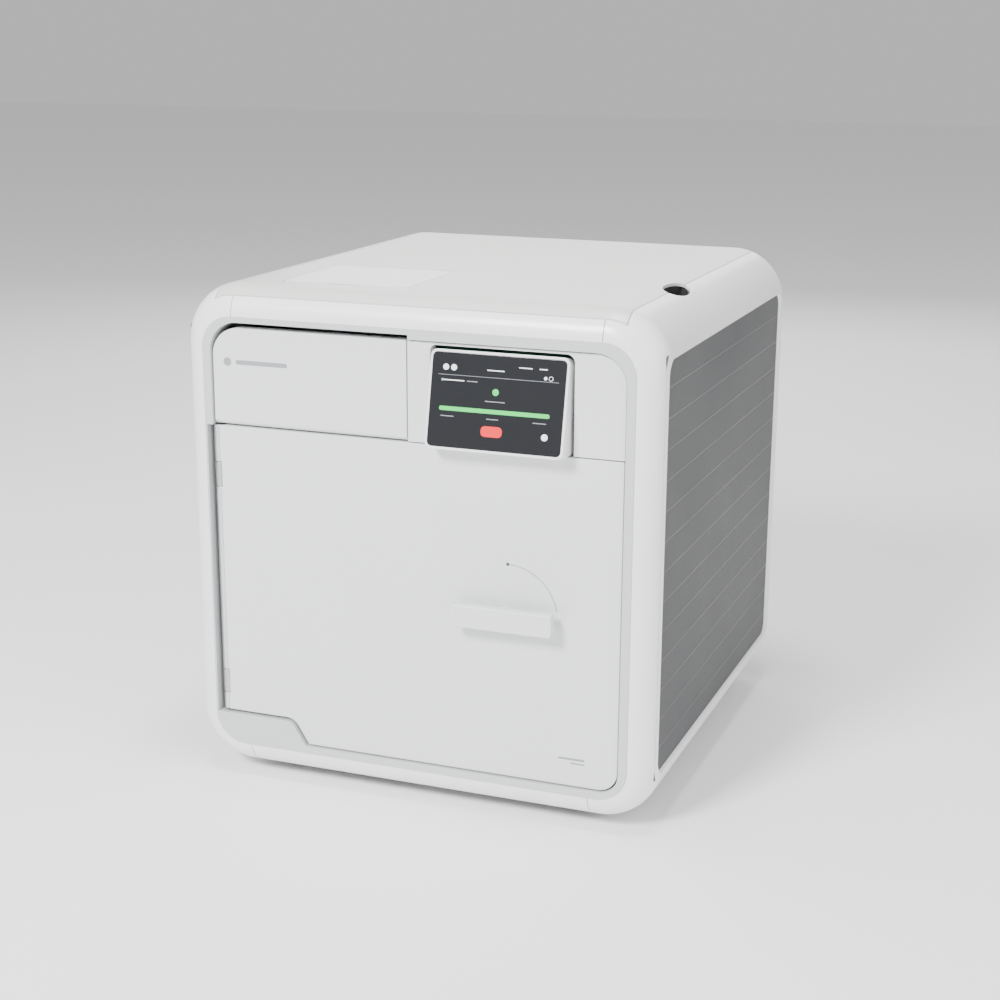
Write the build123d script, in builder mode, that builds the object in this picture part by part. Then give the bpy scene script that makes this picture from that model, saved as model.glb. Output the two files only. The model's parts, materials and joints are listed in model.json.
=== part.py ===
from build123d import *

import os
from math import cos, radians, sin, sqrt

# Benchtop steam steriliser, in millimetres. +Z is up and the front faces -Y.
# The origin is on the bench, under the centre of the machine.
# Places are given as x, depth behind the casing's front face, and height over its base.

# ---- driving dimensions ----
WIDTH = 480.0
HEIGHT = 485.0
DEPTH = 470.0
FOOT_HEIGHT = 10.0
SPACER_LENGTH = 18.0
CORNER_R = 56.0
NOSE_R = 30.0
SHELL = 3.0
SEAM = 0.6
GAP = 1.2

FRONT = -DEPTH / 2
BASE = FOOT_HEIGHT
PANEL_DEPTH = 3.0
SKIN = 3.0

RING_HALF_WIDTH = 215.0
RING_LOW = 24.5
RING_TOP = 455.5
RING_R = 31.0
RING_THICK = 6.0
TUNNEL_HALF = 206.5
TUNNEL_LEFT = -213.0
TUNNEL_LOW = 31.8
TUNNEL_TOP_LEFT = 450.0
TUNNEL_TOP_RIGHT = 445.7
LINER = 2.0
BULKHEAD_DEPTH = 60.0
BULKHEAD = 2.0

SPLIT_HEIGHT = 350.0
PANEL_TOP = 444.5
SPLIT_X = -4.2
STEP_TOP = 55.5
STEP_CORNER = (-131.0, STEP_TOP)
STEP_FOOT = (-116.0, TUNNEL_LOW)

HINGE_X = -204.0
HINGE_DEPTH = 9.0
BARREL_R = 6.0
PIN_R = 3.0
RUNNING = 0.05
KNUCKLES = ((76.0, 100.0), (288.5, 313.0))

CHAMBER_HEIGHT = 190.0
CHAMBER_R = 125.0
CHAMBER_WALL = 3.0
CHAMBER_END = 404.0
FLANGE_R = 150.0
FLANGE_DEPTH = 54.0

HANDLE_X = 95.3
HANDLE_HEIGHT = 194.0
HANDLE_LENGTH = 99.5
HANDLE_DROP = 21.5
HANDLE_FRONT = -17.0
SHAFT_R = 6.0
BOLT_TRAVEL = 12.0
BOLT_R = 4.0
BOLT_DEPTH = 19.0
BOLT_SPREAD = 40.0
CAM_START_R = 26.0

TILT = 12.0
SCREEN_X = 87.6
SCREEN_LOW = 351.2
SCREEN_FRONT = -18.0

MESH_FRONT = 23.0
MESH_REAR = 461.0
MESH_LOW = 49.5
MESH_TOP = 438.0
MESH_R = 12.0
MESH_INSET = 3.0
MESH_SHEET = 1.2

LID_LEFT = -153.0
LID_RIGHT = -25.0
LID_FRONT = 48.0
LID_HINGE_DEPTH = 169.0
LID_BARREL_R = 3.5
LID_PIN_R = 1.5
LID_HINGE_HEIGHT = HEIGHT - LID_BARREL_R

FAN_X = 110.0
FAN_HEIGHT = 404.0
REAR_PANEL_DEPTH = 464.0
REAR_PANEL = 2.0

os.makedirs("parts", exist_ok=True)


# ---- helpers ----
def at(x, depth, height):
    """A point from its x, depth behind the front face and height over the base."""
    return (x, FRONT + depth, BASE + height)


def facing(depth):
    """A plane seen from the front: its x is the machine's x, its y is the height."""
    return Plane(origin=at(0, depth, 0), x_dir=(1, 0, 0), z_dir=(0, -1, 0))


def level(height):
    """A level plane seen from above: its x is the machine's x, its y is the depth."""
    return Plane(origin=at(0, 0, height), x_dir=(1, 0, 0), z_dir=(0, 0, 1))


def from_right(x):
    """A plane seen from the right: its x is the depth, its y is the height."""
    return Plane(origin=at(x, 0, 0), x_dir=(0, 1, 0), z_dir=(1, 0, 0))


def block(x, depth, height, mode=Mode.ADD):
    """A block that spans three pairs of limits."""
    middle = at(sum(x) / 2, sum(depth) / 2, sum(height) / 2)
    with Locations(middle):
        Box(x[1] - x[0], depth[1] - depth[0], height[1] - height[0], mode=mode)


def rod_along_x(x, depth, height, radius, mode=Mode.ADD):
    """A round bar between two x values."""
    with Locations(at(sum(x) / 2, depth, height)):
        Cylinder(radius, x[1] - x[0], rotation=(0, 90, 0), mode=mode)


def rod_along_y(x, depth, height, radius, mode=Mode.ADD):
    """A round bar between two depths."""
    with Locations(at(x, sum(depth) / 2, height)):
        Cylinder(radius, depth[1] - depth[0], rotation=(90, 0, 0), mode=mode)


def rod_along_z(x, depth, height, radius, mode=Mode.ADD):
    """A round bar between two heights."""
    with Locations(at(x, depth, sum(height) / 2)):
        Cylinder(radius, height[1] - height[0], mode=mode)


def finish(piece, name):
    """Label a finished piece and write it to its own STEP file."""
    piece.part.label = name
    export_step(piece.part, f"parts/{name}.step")


# ---- casing ----
with BuildPart() as casing_inside:
    with BuildSketch(facing(SHELL)):
        with Locations((0, HEIGHT / 2)):
            RectangleRounded(WIDTH - 2 * SHELL, HEIGHT - 2 * SHELL, CORNER_R - SHELL)
    extrude(amount=-DEPTH)
    fillet(casing_inside.faces().sort_by(Axis.Y)[0].edges(), NOSE_R - SHELL)

with BuildPart() as casing:
    with BuildSketch(facing(0)):
        with Locations((0, HEIGHT / 2)):
            RectangleRounded(WIDTH, HEIGHT, CORNER_R)
    extrude(amount=-DEPTH)
    fillet(casing.faces().sort_by(Axis.Y)[0].edges(), NOSE_R)
    add(casing_inside.part, mode=Mode.SUBTRACT)
    with BuildSketch(facing(-1)):
        with Locations((0, (RING_LOW + RING_TOP) / 2)):
            RectangleRounded(2 * RING_HALF_WIDTH, RING_TOP - RING_LOW, RING_R)
    extrude(amount=-NOSE_R, mode=Mode.SUBTRACT)

TRIM_HALF_TOP = 183.0
TRIM_HALF_BOTTOM = 176.5
TRIM_DEPTH = 8.0
COVER_HALF = 203.0
TOP_ZONE = (430.0, HEIGHT + 1)
BASE_ZONE = (-1.0, 40.0)
WHOLE_DEPTH = (-1.0, DEPTH + 1)
NOTCH_DEPTH = 165.0
NOTCH_LENGTH = 58.0
NOTCH_WIDTH = 11.0


def side_shell(side):
    """One side of the casing: two long rounded corners and a vent window with a sloping lip."""
    window_plane = Plane(
        origin=at(side * (WIDTH / 2 - MESH_INSET), 0, 0), x_dir=(0, side, 0), z_dir=(side, 0, 0)
    )
    with BuildPart() as shell:
        add(casing.part)
        outer = sorted((side * (TRIM_HALF_BOTTOM + SEAM), side * (WIDTH / 2 + 1)))
        block(outer, WHOLE_DEPTH, (-1, HEIGHT + 1), Mode.INTERSECT)
        cover_zone = sorted((0, side * (COVER_HALF + SEAM)))
        block(cover_zone, (TRIM_DEPTH - SEAM, DEPTH + 1), TOP_ZONE, Mode.SUBTRACT)
        trim_zone = sorted((0, side * (TRIM_HALF_TOP + SEAM)))
        block(trim_zone, (-1, TRIM_DEPTH), TOP_ZONE, Mode.SUBTRACT)
        with BuildSketch(window_plane) as window:
            with Locations((side * (MESH_FRONT + MESH_REAR) / 2, (MESH_LOW + MESH_TOP) / 2)):
                RectangleRounded(MESH_REAR - MESH_FRONT, MESH_TOP - MESH_LOW, MESH_R)
        extrude(window.sketch, amount=MESH_INSET + 2, taper=-45, mode=Mode.SUBTRACT)
        extrude(window.sketch, amount=-12, mode=Mode.SUBTRACT)
        rebate = sorted((side * (WIDTH / 2 - MESH_INSET - MESH_SHEET), side * (WIDTH / 2 - MESH_INSET)))
        rebate_depths = (MESH_FRONT - 6, MESH_REAR + 6)
        block(rebate, rebate_depths, (MESH_LOW - 6, MESH_TOP + 6), Mode.SUBTRACT)
    return shell


side_shell_left = side_shell(-1)
finish(side_shell_left, "side_shell_left")

with BuildPart() as side_shell_right:
    add(side_shell(1).part)
    # finger recess across the seam with the top cover
    with BuildSketch(level(HEIGHT - 12)):
        with Locations((COVER_HALF, NOTCH_DEPTH)):
            Ellipse(NOTCH_WIDTH, NOTCH_LENGTH / 2)
    extrude(amount=14, mode=Mode.SUBTRACT)
finish(side_shell_right, "side_shell_right")

with BuildPart() as front_trim_top:
    add(casing.part)
    block((-TRIM_HALF_TOP, TRIM_HALF_TOP), (-1, TRIM_DEPTH - SEAM), TOP_ZONE, Mode.INTERSECT)
finish(front_trim_top, "front_trim_top")

with BuildPart() as front_trim_bottom:
    add(casing.part)
    block((-TRIM_HALF_BOTTOM, TRIM_HALF_BOTTOM), (-1, NOSE_R), BASE_ZONE, Mode.INTERSECT)
finish(front_trim_bottom, "front_trim_bottom")

LID_BOSS_X = ((LID_LEFT - 12, LID_LEFT - 0.5), (LID_RIGHT + 0.5, LID_RIGHT + 12))
SLOT_LENGTH = 32.0
SLOT_X = -87.0
with BuildPart() as top_cover:
    add(casing.part)
    block((-COVER_HALF, COVER_HALF), (TRIM_DEPTH, DEPTH + 1), TOP_ZONE, Mode.INTERSECT)
    for boss_x in LID_BOSS_X:
        block(boss_x, (163, 176), (LID_HINGE_HEIGHT - 5, HEIGHT - SHELL))
        rod_along_x(boss_x, LID_HINGE_DEPTH, LID_HINGE_HEIGHT, LID_PIN_R, Mode.SUBTRACT)
    lid_clearance = LID_BARREL_R + 0.5
    block(
        (LID_LEFT - 0.5, LID_RIGHT + 0.5),
        (LID_FRONT - 0.5, LID_HINGE_DEPTH + lid_clearance),
        (HEIGHT - 12, HEIGHT + 1),
        Mode.SUBTRACT,
    )
    with BuildSketch(level(HEIGHT - SHELL)):
        with Locations((SLOT_X, LID_FRONT)):
            SlotOverall(SLOT_LENGTH, 7)
    extrude(amount=SHELL, mode=Mode.SUBTRACT)
    with BuildSketch(level(HEIGHT - 12)):
        with Locations((COVER_HALF, NOTCH_DEPTH)):
            Ellipse(NOTCH_WIDTH, NOTCH_LENGTH / 2)
    extrude(amount=14, mode=Mode.SUBTRACT)
finish(top_cover, "top_cover")

CUP_HEIGHT = 461.0
with BuildPart() as finger_cup:
    with BuildSketch(level(CUP_HEIGHT)):
        with Locations((COVER_HALF - 4, NOTCH_DEPTH)):
            Ellipse(NOTCH_WIDTH + 4, NOTCH_LENGTH / 2 + 4)
    extrude(amount=HEIGHT - CUP_HEIGHT)
    with BuildSketch(level(CUP_HEIGHT + 2)):
        with Locations((COVER_HALF - 4, NOTCH_DEPTH)):
            Ellipse(NOTCH_WIDTH + 2, NOTCH_LENGTH / 2 + 2)
    extrude(amount=HEIGHT - CUP_HEIGHT, mode=Mode.SUBTRACT)
    # its rim follows the inside of the casing
    with BuildSketch(facing(0)):
        with Locations((0, HEIGHT / 2)):
            RectangleRounded(WIDTH - 2 * SHELL, HEIGHT - 2 * SHELL, CORNER_R - SHELL)
    extrude(amount=-DEPTH, mode=Mode.INTERSECT)
finish(finger_cup, "finger_cup")

with BuildPart() as base_pan:
    add(casing.part)
    pan_x = (-TRIM_HALF_BOTTOM, TRIM_HALF_BOTTOM)
    block(pan_x, (NOSE_R + SEAM, DEPTH + 1), BASE_ZONE, Mode.INTERSECT)
finish(base_pan, "base_pan")


def side_mesh(side):
    """The flat perforated vent sheet that sits in a rebate behind a side window."""
    sheet_x = side * (WIDTH / 2 - MESH_INSET)
    with BuildPart() as sheet:
        with BuildSketch(from_right(sheet_x)) as outline:
            with Locations(((MESH_FRONT + MESH_REAR) / 2, (MESH_LOW + MESH_TOP) / 2)):
                RectangleRounded(MESH_REAR - MESH_FRONT + 10, MESH_TOP - MESH_LOW + 10, MESH_R)
        extrude(outline.sketch, amount=-side * MESH_SHEET)
    return sheet


side_mesh_right = side_mesh(1)
finish(side_mesh_right, "side_mesh_right")
side_mesh_left = side_mesh(-1)
finish(side_mesh_left, "side_mesh_left")

PANEL_HALF = WIDTH / 2 - MESH_INSET - MESH_SHEET - 0.4
FAN_OPENING_R = 52.0
INLET_X = -150.0
INLET_HEIGHT = 70.0
SPIGOT_X = (60.0, 110.0)
SPIGOT_HEIGHT = 70.0
GUARD_RINGS = (18.0, 30.0, 42.0)
with BuildPart() as rear_panel:
    with BuildSketch(facing(REAR_PANEL_DEPTH)):
        with Locations((0, HEIGHT / 2)):
            RectangleRounded(2 * PANEL_HALF, HEIGHT - 2 * SHELL - 0.8, CORNER_R - SHELL - 0.4)
    extrude(amount=-REAR_PANEL)
    # fan opening with its guard of rings and spokes
    rod_along_y(FAN_X, (REAR_PANEL_DEPTH - 1, REAR_PANEL_DEPTH + 3), FAN_HEIGHT, FAN_OPENING_R, Mode.SUBTRACT)
    with BuildSketch(facing(REAR_PANEL_DEPTH)):
        with Locations((FAN_X, FAN_HEIGHT)):
            Circle(10)
            for ring_r in GUARD_RINGS:
                Circle(ring_r + 1.2)
                Circle(ring_r - 1.2, mode=Mode.SUBTRACT)
            Circle(10)
            with PolarLocations(FAN_OPENING_R / 2, 4):
                Rectangle(FAN_OPENING_R + 1, 2.4)
    extrude(amount=-REAR_PANEL)
    inlet_x = (INLET_X - 14, INLET_X + 14)
    block(inlet_x, (REAR_PANEL_DEPTH - 1, 468), (INLET_HEIGHT - 12, INLET_HEIGHT + 34), Mode.SUBTRACT)
    for spigot_x in SPIGOT_X:
        rod_along_y(spigot_x, (REAR_PANEL_DEPTH - 1, 468), SPIGOT_HEIGHT, 8.2, Mode.SUBTRACT)
    # louvres for the generator bay
    for louvre in range(8):
        slot_height = 190 + 12 * louvre
        block((70, 160), (REAR_PANEL_DEPTH - 1, 468), (slot_height, slot_height + 5), Mode.SUBTRACT)
finish(rear_panel, "rear_panel")

FOOT_X = 150.0
FOOT_DEPTHS = (60.0, 410.0)
with BuildPart() as feet:
    for foot_depth in FOOT_DEPTHS:
        for foot_x in (-FOOT_X, FOOT_X):
            with Locations(at(foot_x, foot_depth, -FOOT_HEIGHT)):
                Cone(15, 17, FOOT_HEIGHT, align=(Align.CENTER, Align.CENTER, Align.MIN))
finish(feet, "feet")

SPACER_X = 180.0
SPACER_HEIGHTS = (60.0, 330.0)
SPACER_FOOT = REAR_PANEL_DEPTH + REAR_PANEL
with BuildPart() as rear_spacers:
    for spacer_height in SPACER_HEIGHTS:
        for spacer_x in (-SPACER_X, SPACER_X):
            rod_along_y(spacer_x, (SPACER_FOOT, DEPTH + SPACER_LENGTH), spacer_height, 12)
finish(rear_spacers, "rear_spacers")

SCREW_POINTS = [(x, h) for x in (-205, 205) for h in (40, 243, 445)]
SCREW_POINTS += [(x, h) for x in (-70, 0) for h in (14, 471)]
with BuildPart() as panel_screws:
    for screw_x, screw_height in SCREW_POINTS:
        rod_along_y(screw_x, (SPACER_FOOT, SPACER_FOOT + 2.2), screw_height, 3.8)
        with Locations(at(screw_x, SPACER_FOOT + 1.8, screw_height)):
            Box(1.0, 1.2, 5.0, mode=Mode.SUBTRACT)
            Box(5.0, 1.2, 1.0, mode=Mode.SUBTRACT)
finish(panel_screws, "panel_screws")


# ---- front bezel with its liner ----
def bezel_opening(grow):
    """The outline of the front opening, grown outwards by an amount."""
    points = (
        (-TUNNEL_HALF - grow, TUNNEL_TOP_LEFT + grow),
        (SPLIT_X + 2 + grow, TUNNEL_TOP_LEFT + grow),
        (SPLIT_X + 2 + grow, TUNNEL_TOP_RIGHT + grow),
        (TUNNEL_HALF + grow, TUNNEL_TOP_RIGHT + grow),
        (TUNNEL_HALF + grow, TUNNEL_LOW - grow),
        (STEP_FOOT[0] - grow, TUNNEL_LOW - grow),
        (STEP_CORNER[0] - grow / 2, STEP_CORNER[1] - grow),
        (TUNNEL_LEFT - grow, STEP_TOP - grow),
        (TUNNEL_LEFT - grow, SPLIT_HEIGHT + grow),
        (-TUNNEL_HALF - grow, SPLIT_HEIGHT + grow),
    )
    bends = (28 + grow, 0.4, 0.4, 29 + grow, 20 + grow, 2, 13, 0.5, 0.5, 0.5)
    return points, bends


with BuildPart() as front_ring:
    with BuildSketch(facing(0)):
        with Locations((0, (RING_LOW + RING_TOP) / 2)):
            RectangleRounded(2 * RING_HALF_WIDTH, RING_TOP - RING_LOW, RING_R)
        with BuildLine():
            opening_points, opening_bends = bezel_opening(0)
            FilletPolyline(*opening_points, radius=opening_bends, close=True)
        make_face(mode=Mode.SUBTRACT)
    extrude(amount=-RING_THICK)
    with BuildSketch(facing(RING_THICK)):
        with BuildLine():
            liner_points, liner_bends = bezel_opening(LINER - 0.2)
            FilletPolyline(*liner_points, radius=liner_bends, close=True)
        make_face()
        with BuildLine():
            FilletPolyline(*opening_points, radius=opening_bends, close=True)
        make_face(mode=Mode.SUBTRACT)
    extrude(amount=-(BULKHEAD_DEPTH - RING_THICK))
    # ledge between the door and the upper panels
    block((-TUNNEL_HALF, TUNNEL_HALF), (18, BULKHEAD_DEPTH), (SPLIT_HEIGHT + 0.6, SPLIT_HEIGHT + 2.6))
    # holes for the lock bolts and the flap's left pivot
    for bolt_side in (-1, 1):
        bolt_height = HANDLE_HEIGHT + bolt_side * BOLT_SPREAD
        rod_along_x((200, 214), BOLT_DEPTH, bolt_height, BOLT_R + 1, Mode.SUBTRACT)
    rod_along_x((-214, -200), HINGE_DEPTH, SPLIT_HEIGHT + 6.6, 1.5 + RUNNING, Mode.SUBTRACT)
finish(front_ring, "front_ring")


# ---- display side of the upper front ----
FASCIA_LEFT = SPLIT_X + GAP / 2
FASCIA_RIGHT = TUNNEL_HALF - GAP
FASCIA_BACK = 16.0
WINDOW_LEFT = 19.0
WINDOW_RIGHT = 157.5
WINDOW_TOP = 442.4
with BuildPart() as display_fascia:
    with BuildSketch(facing(PANEL_DEPTH)) as fascia_outline:
        with BuildLine():
            FilletPolyline(
                (FASCIA_LEFT, SPLIT_HEIGHT + GAP / 2),
                (FASCIA_LEFT, PANEL_TOP),
                (FASCIA_RIGHT, PANEL_TOP),
                (FASCIA_RIGHT, SPLIT_HEIGHT + GAP / 2),
                radius=(0.8, 0.8, 28, 0.8),
                close=True,
            )
        make_face()
    extrude(amount=-(FASCIA_BACK - PANEL_DEPTH))
    with BuildSketch(facing(PANEL_DEPTH + SKIN)):
        offset(fascia_outline.sketch_local, amount=-2.5)
    extrude(amount=-FASCIA_BACK, mode=Mode.SUBTRACT)
    # walls of the recess round the screen
    with BuildSketch(facing(PANEL_DEPTH)):
        with BuildLine():
            FilletPolyline(
                (WINDOW_LEFT - 1.5, SPLIT_HEIGHT + GAP / 2),
                (WINDOW_LEFT - 1.5, WINDOW_TOP + 1.5),
                (WINDOW_RIGHT + 1.5, WINDOW_TOP + 1.5),
                (WINDOW_RIGHT + 1.5, SPLIT_HEIGHT + GAP / 2),
                radius=(0.5, 7, 9.5, 0.5),
                close=True,
            )
        make_face()
    extrude(amount=-(FASCIA_BACK - PANEL_DEPTH))
    with BuildSketch(facing(PANEL_DEPTH - 1)):
        with BuildLine():
            FilletPolyline(
                (WINDOW_LEFT, SPLIT_HEIGHT - 5),
                (WINDOW_LEFT, WINDOW_TOP),
                (WINDOW_RIGHT, WINDOW_TOP),
                (WINDOW_RIGHT, SPLIT_HEIGHT - 5),
                radius=(0.5, 5.5, 8, 0.5),
                close=True,
            )
        make_face()
    extrude(amount=-FASCIA_BACK, mode=Mode.SUBTRACT)
    # bearing hole of the flap's right pivot
    rod_along_x((FASCIA_LEFT - 1, FASCIA_LEFT + 6), HINGE_DEPTH, SPLIT_HEIGHT + 6.6, 1.5 + RUNNING, Mode.SUBTRACT)
finish(display_fascia, "display_fascia")

SCREEN_PLANE = Plane(
    origin=at(SCREEN_X, SCREEN_FRONT, SCREEN_LOW),
    x_dir=(1, 0, 0),
    z_dir=(0, -cos(radians(TILT)), sin(radians(TILT))),
)
HOUSING_WIDTH = 133.0
HOUSING_LENGTH = 90.6
GLASS_WIDTH = 128.0
GLASS_LENGTH = 85.4
GLASS_THICK = 1.6
HOUSING_BACK = 14.0
with BuildPart() as display_housing:
    with BuildSketch(SCREEN_PLANE):
        with Locations((0, HOUSING_LENGTH / 2)):
            RectangleRounded(HOUSING_WIDTH, HOUSING_LENGTH, 6.5)
    extrude(amount=-60)
    outward = Axis(SCREEN_PLANE.origin, SCREEN_PLANE.z_dir)
    fillet(display_housing.edges().group_by(outward)[-1], 0.8)
    block((0, 200), (-30, HOUSING_BACK), (SCREEN_LOW, 460), Mode.INTERSECT)
    with BuildSketch(SCREEN_PLANE):
        with Locations((0, HOUSING_LENGTH / 2)):
            RectangleRounded(GLASS_WIDTH + 0.3, GLASS_LENGTH + 0.3, 4.6)
    extrude(amount=-GLASS_THICK, mode=Mode.SUBTRACT)
    # hollow behind the glass
    with BuildSketch(SCREEN_PLANE.offset(-GLASS_THICK)):
        with Locations((0, HOUSING_LENGTH / 2)):
            Rectangle(GLASS_WIDTH - 8, GLASS_LENGTH - 8)
    extrude(amount=-5, mode=Mode.SUBTRACT)
finish(display_housing, "display_housing")

with BuildPart() as display_glass:
    with BuildSketch(SCREEN_PLANE):
        with Locations((0, HOUSING_LENGTH / 2)):
            RectangleRounded(GLASS_WIDTH, GLASS_LENGTH, 4.5)
    extrude(amount=-GLASS_THICK)
finish(display_glass, "display_glass")

# ---- left upper front: drop-down flap ----
FLAP_LEFT = -TUNNEL_HALF + GAP
FLAP_RIGHT = SPLIT_X - GAP / 2
FLAP_LOW = SPLIT_HEIGHT + GAP / 2
FLAP_AXIS_HEIGHT = FLAP_LOW + BARREL_R
FLAP_BACK = 16.0
with BuildPart() as flap_panel:
    with BuildSketch(facing(PANEL_DEPTH)) as flap_outline:
        with BuildLine():
            FilletPolyline(
                (FLAP_LEFT, FLAP_AXIS_HEIGHT),
                (FLAP_LEFT, PANEL_TOP),
                (FLAP_RIGHT, PANEL_TOP),
                (FLAP_RIGHT, FLAP_AXIS_HEIGHT),
                radius=(0, 27, 0.8, 0),
                close=True,
            )
        make_face()
    extrude(amount=-(FLAP_BACK - PANEL_DEPTH))
    with BuildSketch(facing(PANEL_DEPTH + SKIN)):
        offset(flap_outline.sketch_local, amount=-2.5)
    extrude(amount=-FLAP_BACK, mode=Mode.SUBTRACT)
    # round lower edge about the pivot line
    rod_along_x((FLAP_LEFT, FLAP_RIGHT), HINGE_DEPTH, FLAP_AXIS_HEIGHT, BARREL_R)
    rod_along_x((TUNNEL_LEFT + 4.8, FLAP_RIGHT + 4), HINGE_DEPTH, FLAP_AXIS_HEIGHT, 1.5)
finish(flap_panel, "flap_panel")

BAY_DEPTHS = (19.0, 58.0)
BAY_LEFT = -195.0
BAY_RIGHT = -8.0
BAY_LOW = 355.0
BAY_TOP = 438.0
BAY_WALL = 2.0
with BuildPart() as service_bay:
    block((BAY_LEFT, BAY_RIGHT), BAY_DEPTHS, (BAY_LOW, BAY_TOP))
    block(
        (BAY_LEFT + BAY_WALL, BAY_RIGHT - BAY_WALL),
        (BAY_DEPTHS[0] - 1, BAY_DEPTHS[1] - BAY_WALL),
        (BAY_LOW + BAY_WALL, BAY_TOP - BAY_WALL),
        Mode.SUBTRACT,
    )
    fillet(service_bay.edges().filter_by(Axis.Y), 0.8)
finish(service_bay, "service_bay")

with BuildPart() as air_filter:
    rod_along_x((-180, -130), 38, 400, 15)
    rod_along_x((-130, -122), 38, 400, 9)
    rod_along_x((-122, -108), 38, 400, 4)
    rod_along_x((-193, -180), 38, 400, 6)
finish(air_filter, "air_filter")

with BuildPart() as fill_couplings:
    for coupling_x in (-72, -36):
        rod_along_y(coupling_x, (34, BAY_DEPTHS[1] - BAY_WALL), 400, 9)
        rod_along_y(coupling_x, (26, 34), 400, 6.5)
        rod_along_y(coupling_x, (24, 50), 400, 3.5, Mode.SUBTRACT)
finish(fill_couplings, "fill_couplings")

# ---- chassis ----
with BuildPart() as front_bulkhead:
    with BuildSketch(facing(BULKHEAD_DEPTH)):
        with Locations((0, 240)):
            RectangleRounded(452, 468, 44)
        with Locations((0, CHAMBER_HEIGHT)):
            Circle(CHAMBER_R + CHAMBER_WALL + 0.8, mode=Mode.SUBTRACT)
        with Locations((-104, 463)):
            Rectangle(190, 34, mode=Mode.SUBTRACT)
    extrude(amount=-BULKHEAD)
finish(front_bulkhead, "front_bulkhead")

RAIL = 16.0
RAIL_X = (207.0, 223.0)
RAIL_LOW = (22.0, 38.0)
RAIL_TOP = (444.0, 460.0)
RAIL_DEPTHS = (BULKHEAD_DEPTH + BULKHEAD, REAR_PANEL_DEPTH)
with BuildPart() as chassis_frame:
    for rail_side in (-1, 1):
        rail_x = sorted((rail_side * RAIL_X[0], rail_side * RAIL_X[1]))
        block(rail_x, RAIL_DEPTHS, RAIL_LOW)
        block(rail_x, RAIL_DEPTHS, RAIL_TOP)
        for post_depth in (62, 448):
            block(rail_x, (post_depth, post_depth + RAIL), (RAIL_LOW[1], RAIL_TOP[0]))
    for cross_depth in (110, 370):
        block((-RAIL_X[0], RAIL_X[0]), (cross_depth, cross_depth + RAIL), RAIL_LOW)
finish(chassis_frame, "chassis_frame")

# ---- pressure vessel ----
CHAMBER_OUT = CHAMBER_R + CHAMBER_WALL
DOME = 18.0


def dome_points(radius, start):
    """Three points of a domed end: its rim, a point halfway out and its crown."""
    sphere = (radius**2 + DOME**2) / (2 * DOME)
    halfway = start + sqrt(sphere**2 - (radius / 2) ** 2) - (sphere - DOME)
    return (radius, start), (radius / 2, halfway), (0, start + DOME)


with BuildPart() as pressure_chamber:
    with BuildSketch(Plane(origin=at(0, 0, CHAMBER_HEIGHT), x_dir=(1, 0, 0), z_dir=(0, 0, 1))):
        with BuildLine():
            outer_dome = dome_points(CHAMBER_OUT, CHAMBER_END)
            inner_dome = dome_points(CHAMBER_R, CHAMBER_END - CHAMBER_WALL)
            Polyline(
                inner_dome[0],
                (CHAMBER_R, FLANGE_DEPTH),
                (FLANGE_R, FLANGE_DEPTH),
                (FLANGE_R, BULKHEAD_DEPTH),
                (CHAMBER_OUT, BULKHEAD_DEPTH),
                outer_dome[0],
            )
            ThreePointArc(*outer_dome)
            Line(outer_dome[-1], inner_dome[-1])
            ThreePointArc(*inner_dome)
        make_face()
    revolve(axis=Axis(at(0, 0, CHAMBER_HEIGHT), (0, 1, 0)))
finish(pressure_chamber, "pressure_chamber")

HEATER_DEPTHS = (90.0, 200.0, 310.0)
with BuildPart() as band_heaters:
    for heater_depth in HEATER_DEPTHS:
        heater_span = (heater_depth, heater_depth + 42)
        rod_along_y(0, heater_span, CHAMBER_HEIGHT, CHAMBER_OUT + 3)
        rod_along_y(0, heater_span, CHAMBER_HEIGHT, CHAMBER_OUT, Mode.SUBTRACT)
        block((CHAMBER_OUT + 2, CHAMBER_OUT + 6), (heater_depth + 12, heater_depth + 30), (185, 195))
finish(band_heaters, "band_heaters")

JACKET_R = 150.0
with BuildPart() as insulation_jacket:
    rod_along_y(0, (BULKHEAD_DEPTH + 4, 434), CHAMBER_HEIGHT, JACKET_R)
    rod_along_y(0, (BULKHEAD_DEPTH + 3, 428), CHAMBER_HEIGHT, CHAMBER_OUT + 7, Mode.SUBTRACT)
finish(insulation_jacket, "insulation_jacket")

RACK_HALF = 95.0
RACK_DEPTHS = (66.0, 380.0)
SHELF_HEIGHTS = (126.0, 158.0, 190.0, 222.0)
RACK_BAR = 4.0
with BuildPart() as tray_rack:
    for rack_side in (-1, 1):
        side_x = sorted((rack_side * RACK_HALF, rack_side * (RACK_HALF - 1.5)))
        for post_depth in (RACK_DEPTHS[0], 210, RACK_DEPTHS[1] - 12):
            block(side_x, (post_depth, post_depth + 12), (112, 256))
        for shelf in SHELF_HEIGHTS:
            runner = sorted((rack_side * RACK_HALF, rack_side * (RACK_HALF - 9)))
            block(runner, RACK_DEPTHS, (shelf - 1.2, shelf))
    for tie_depth in (RACK_DEPTHS[0], RACK_DEPTHS[1] - 12):
        for tie_height in (112, 254.5):
            block((-RACK_HALF, RACK_HALF), (tie_depth, tie_depth + 12), (tie_height, tie_height + 1.5))
    # lower runners rest on the vessel's floor
    for foot_side in (-60, 60):
        block((foot_side - 1.5, foot_side + 1.5), RACK_DEPTHS, (81.5, 112))
finish(tray_rack, "tray_rack")

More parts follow.
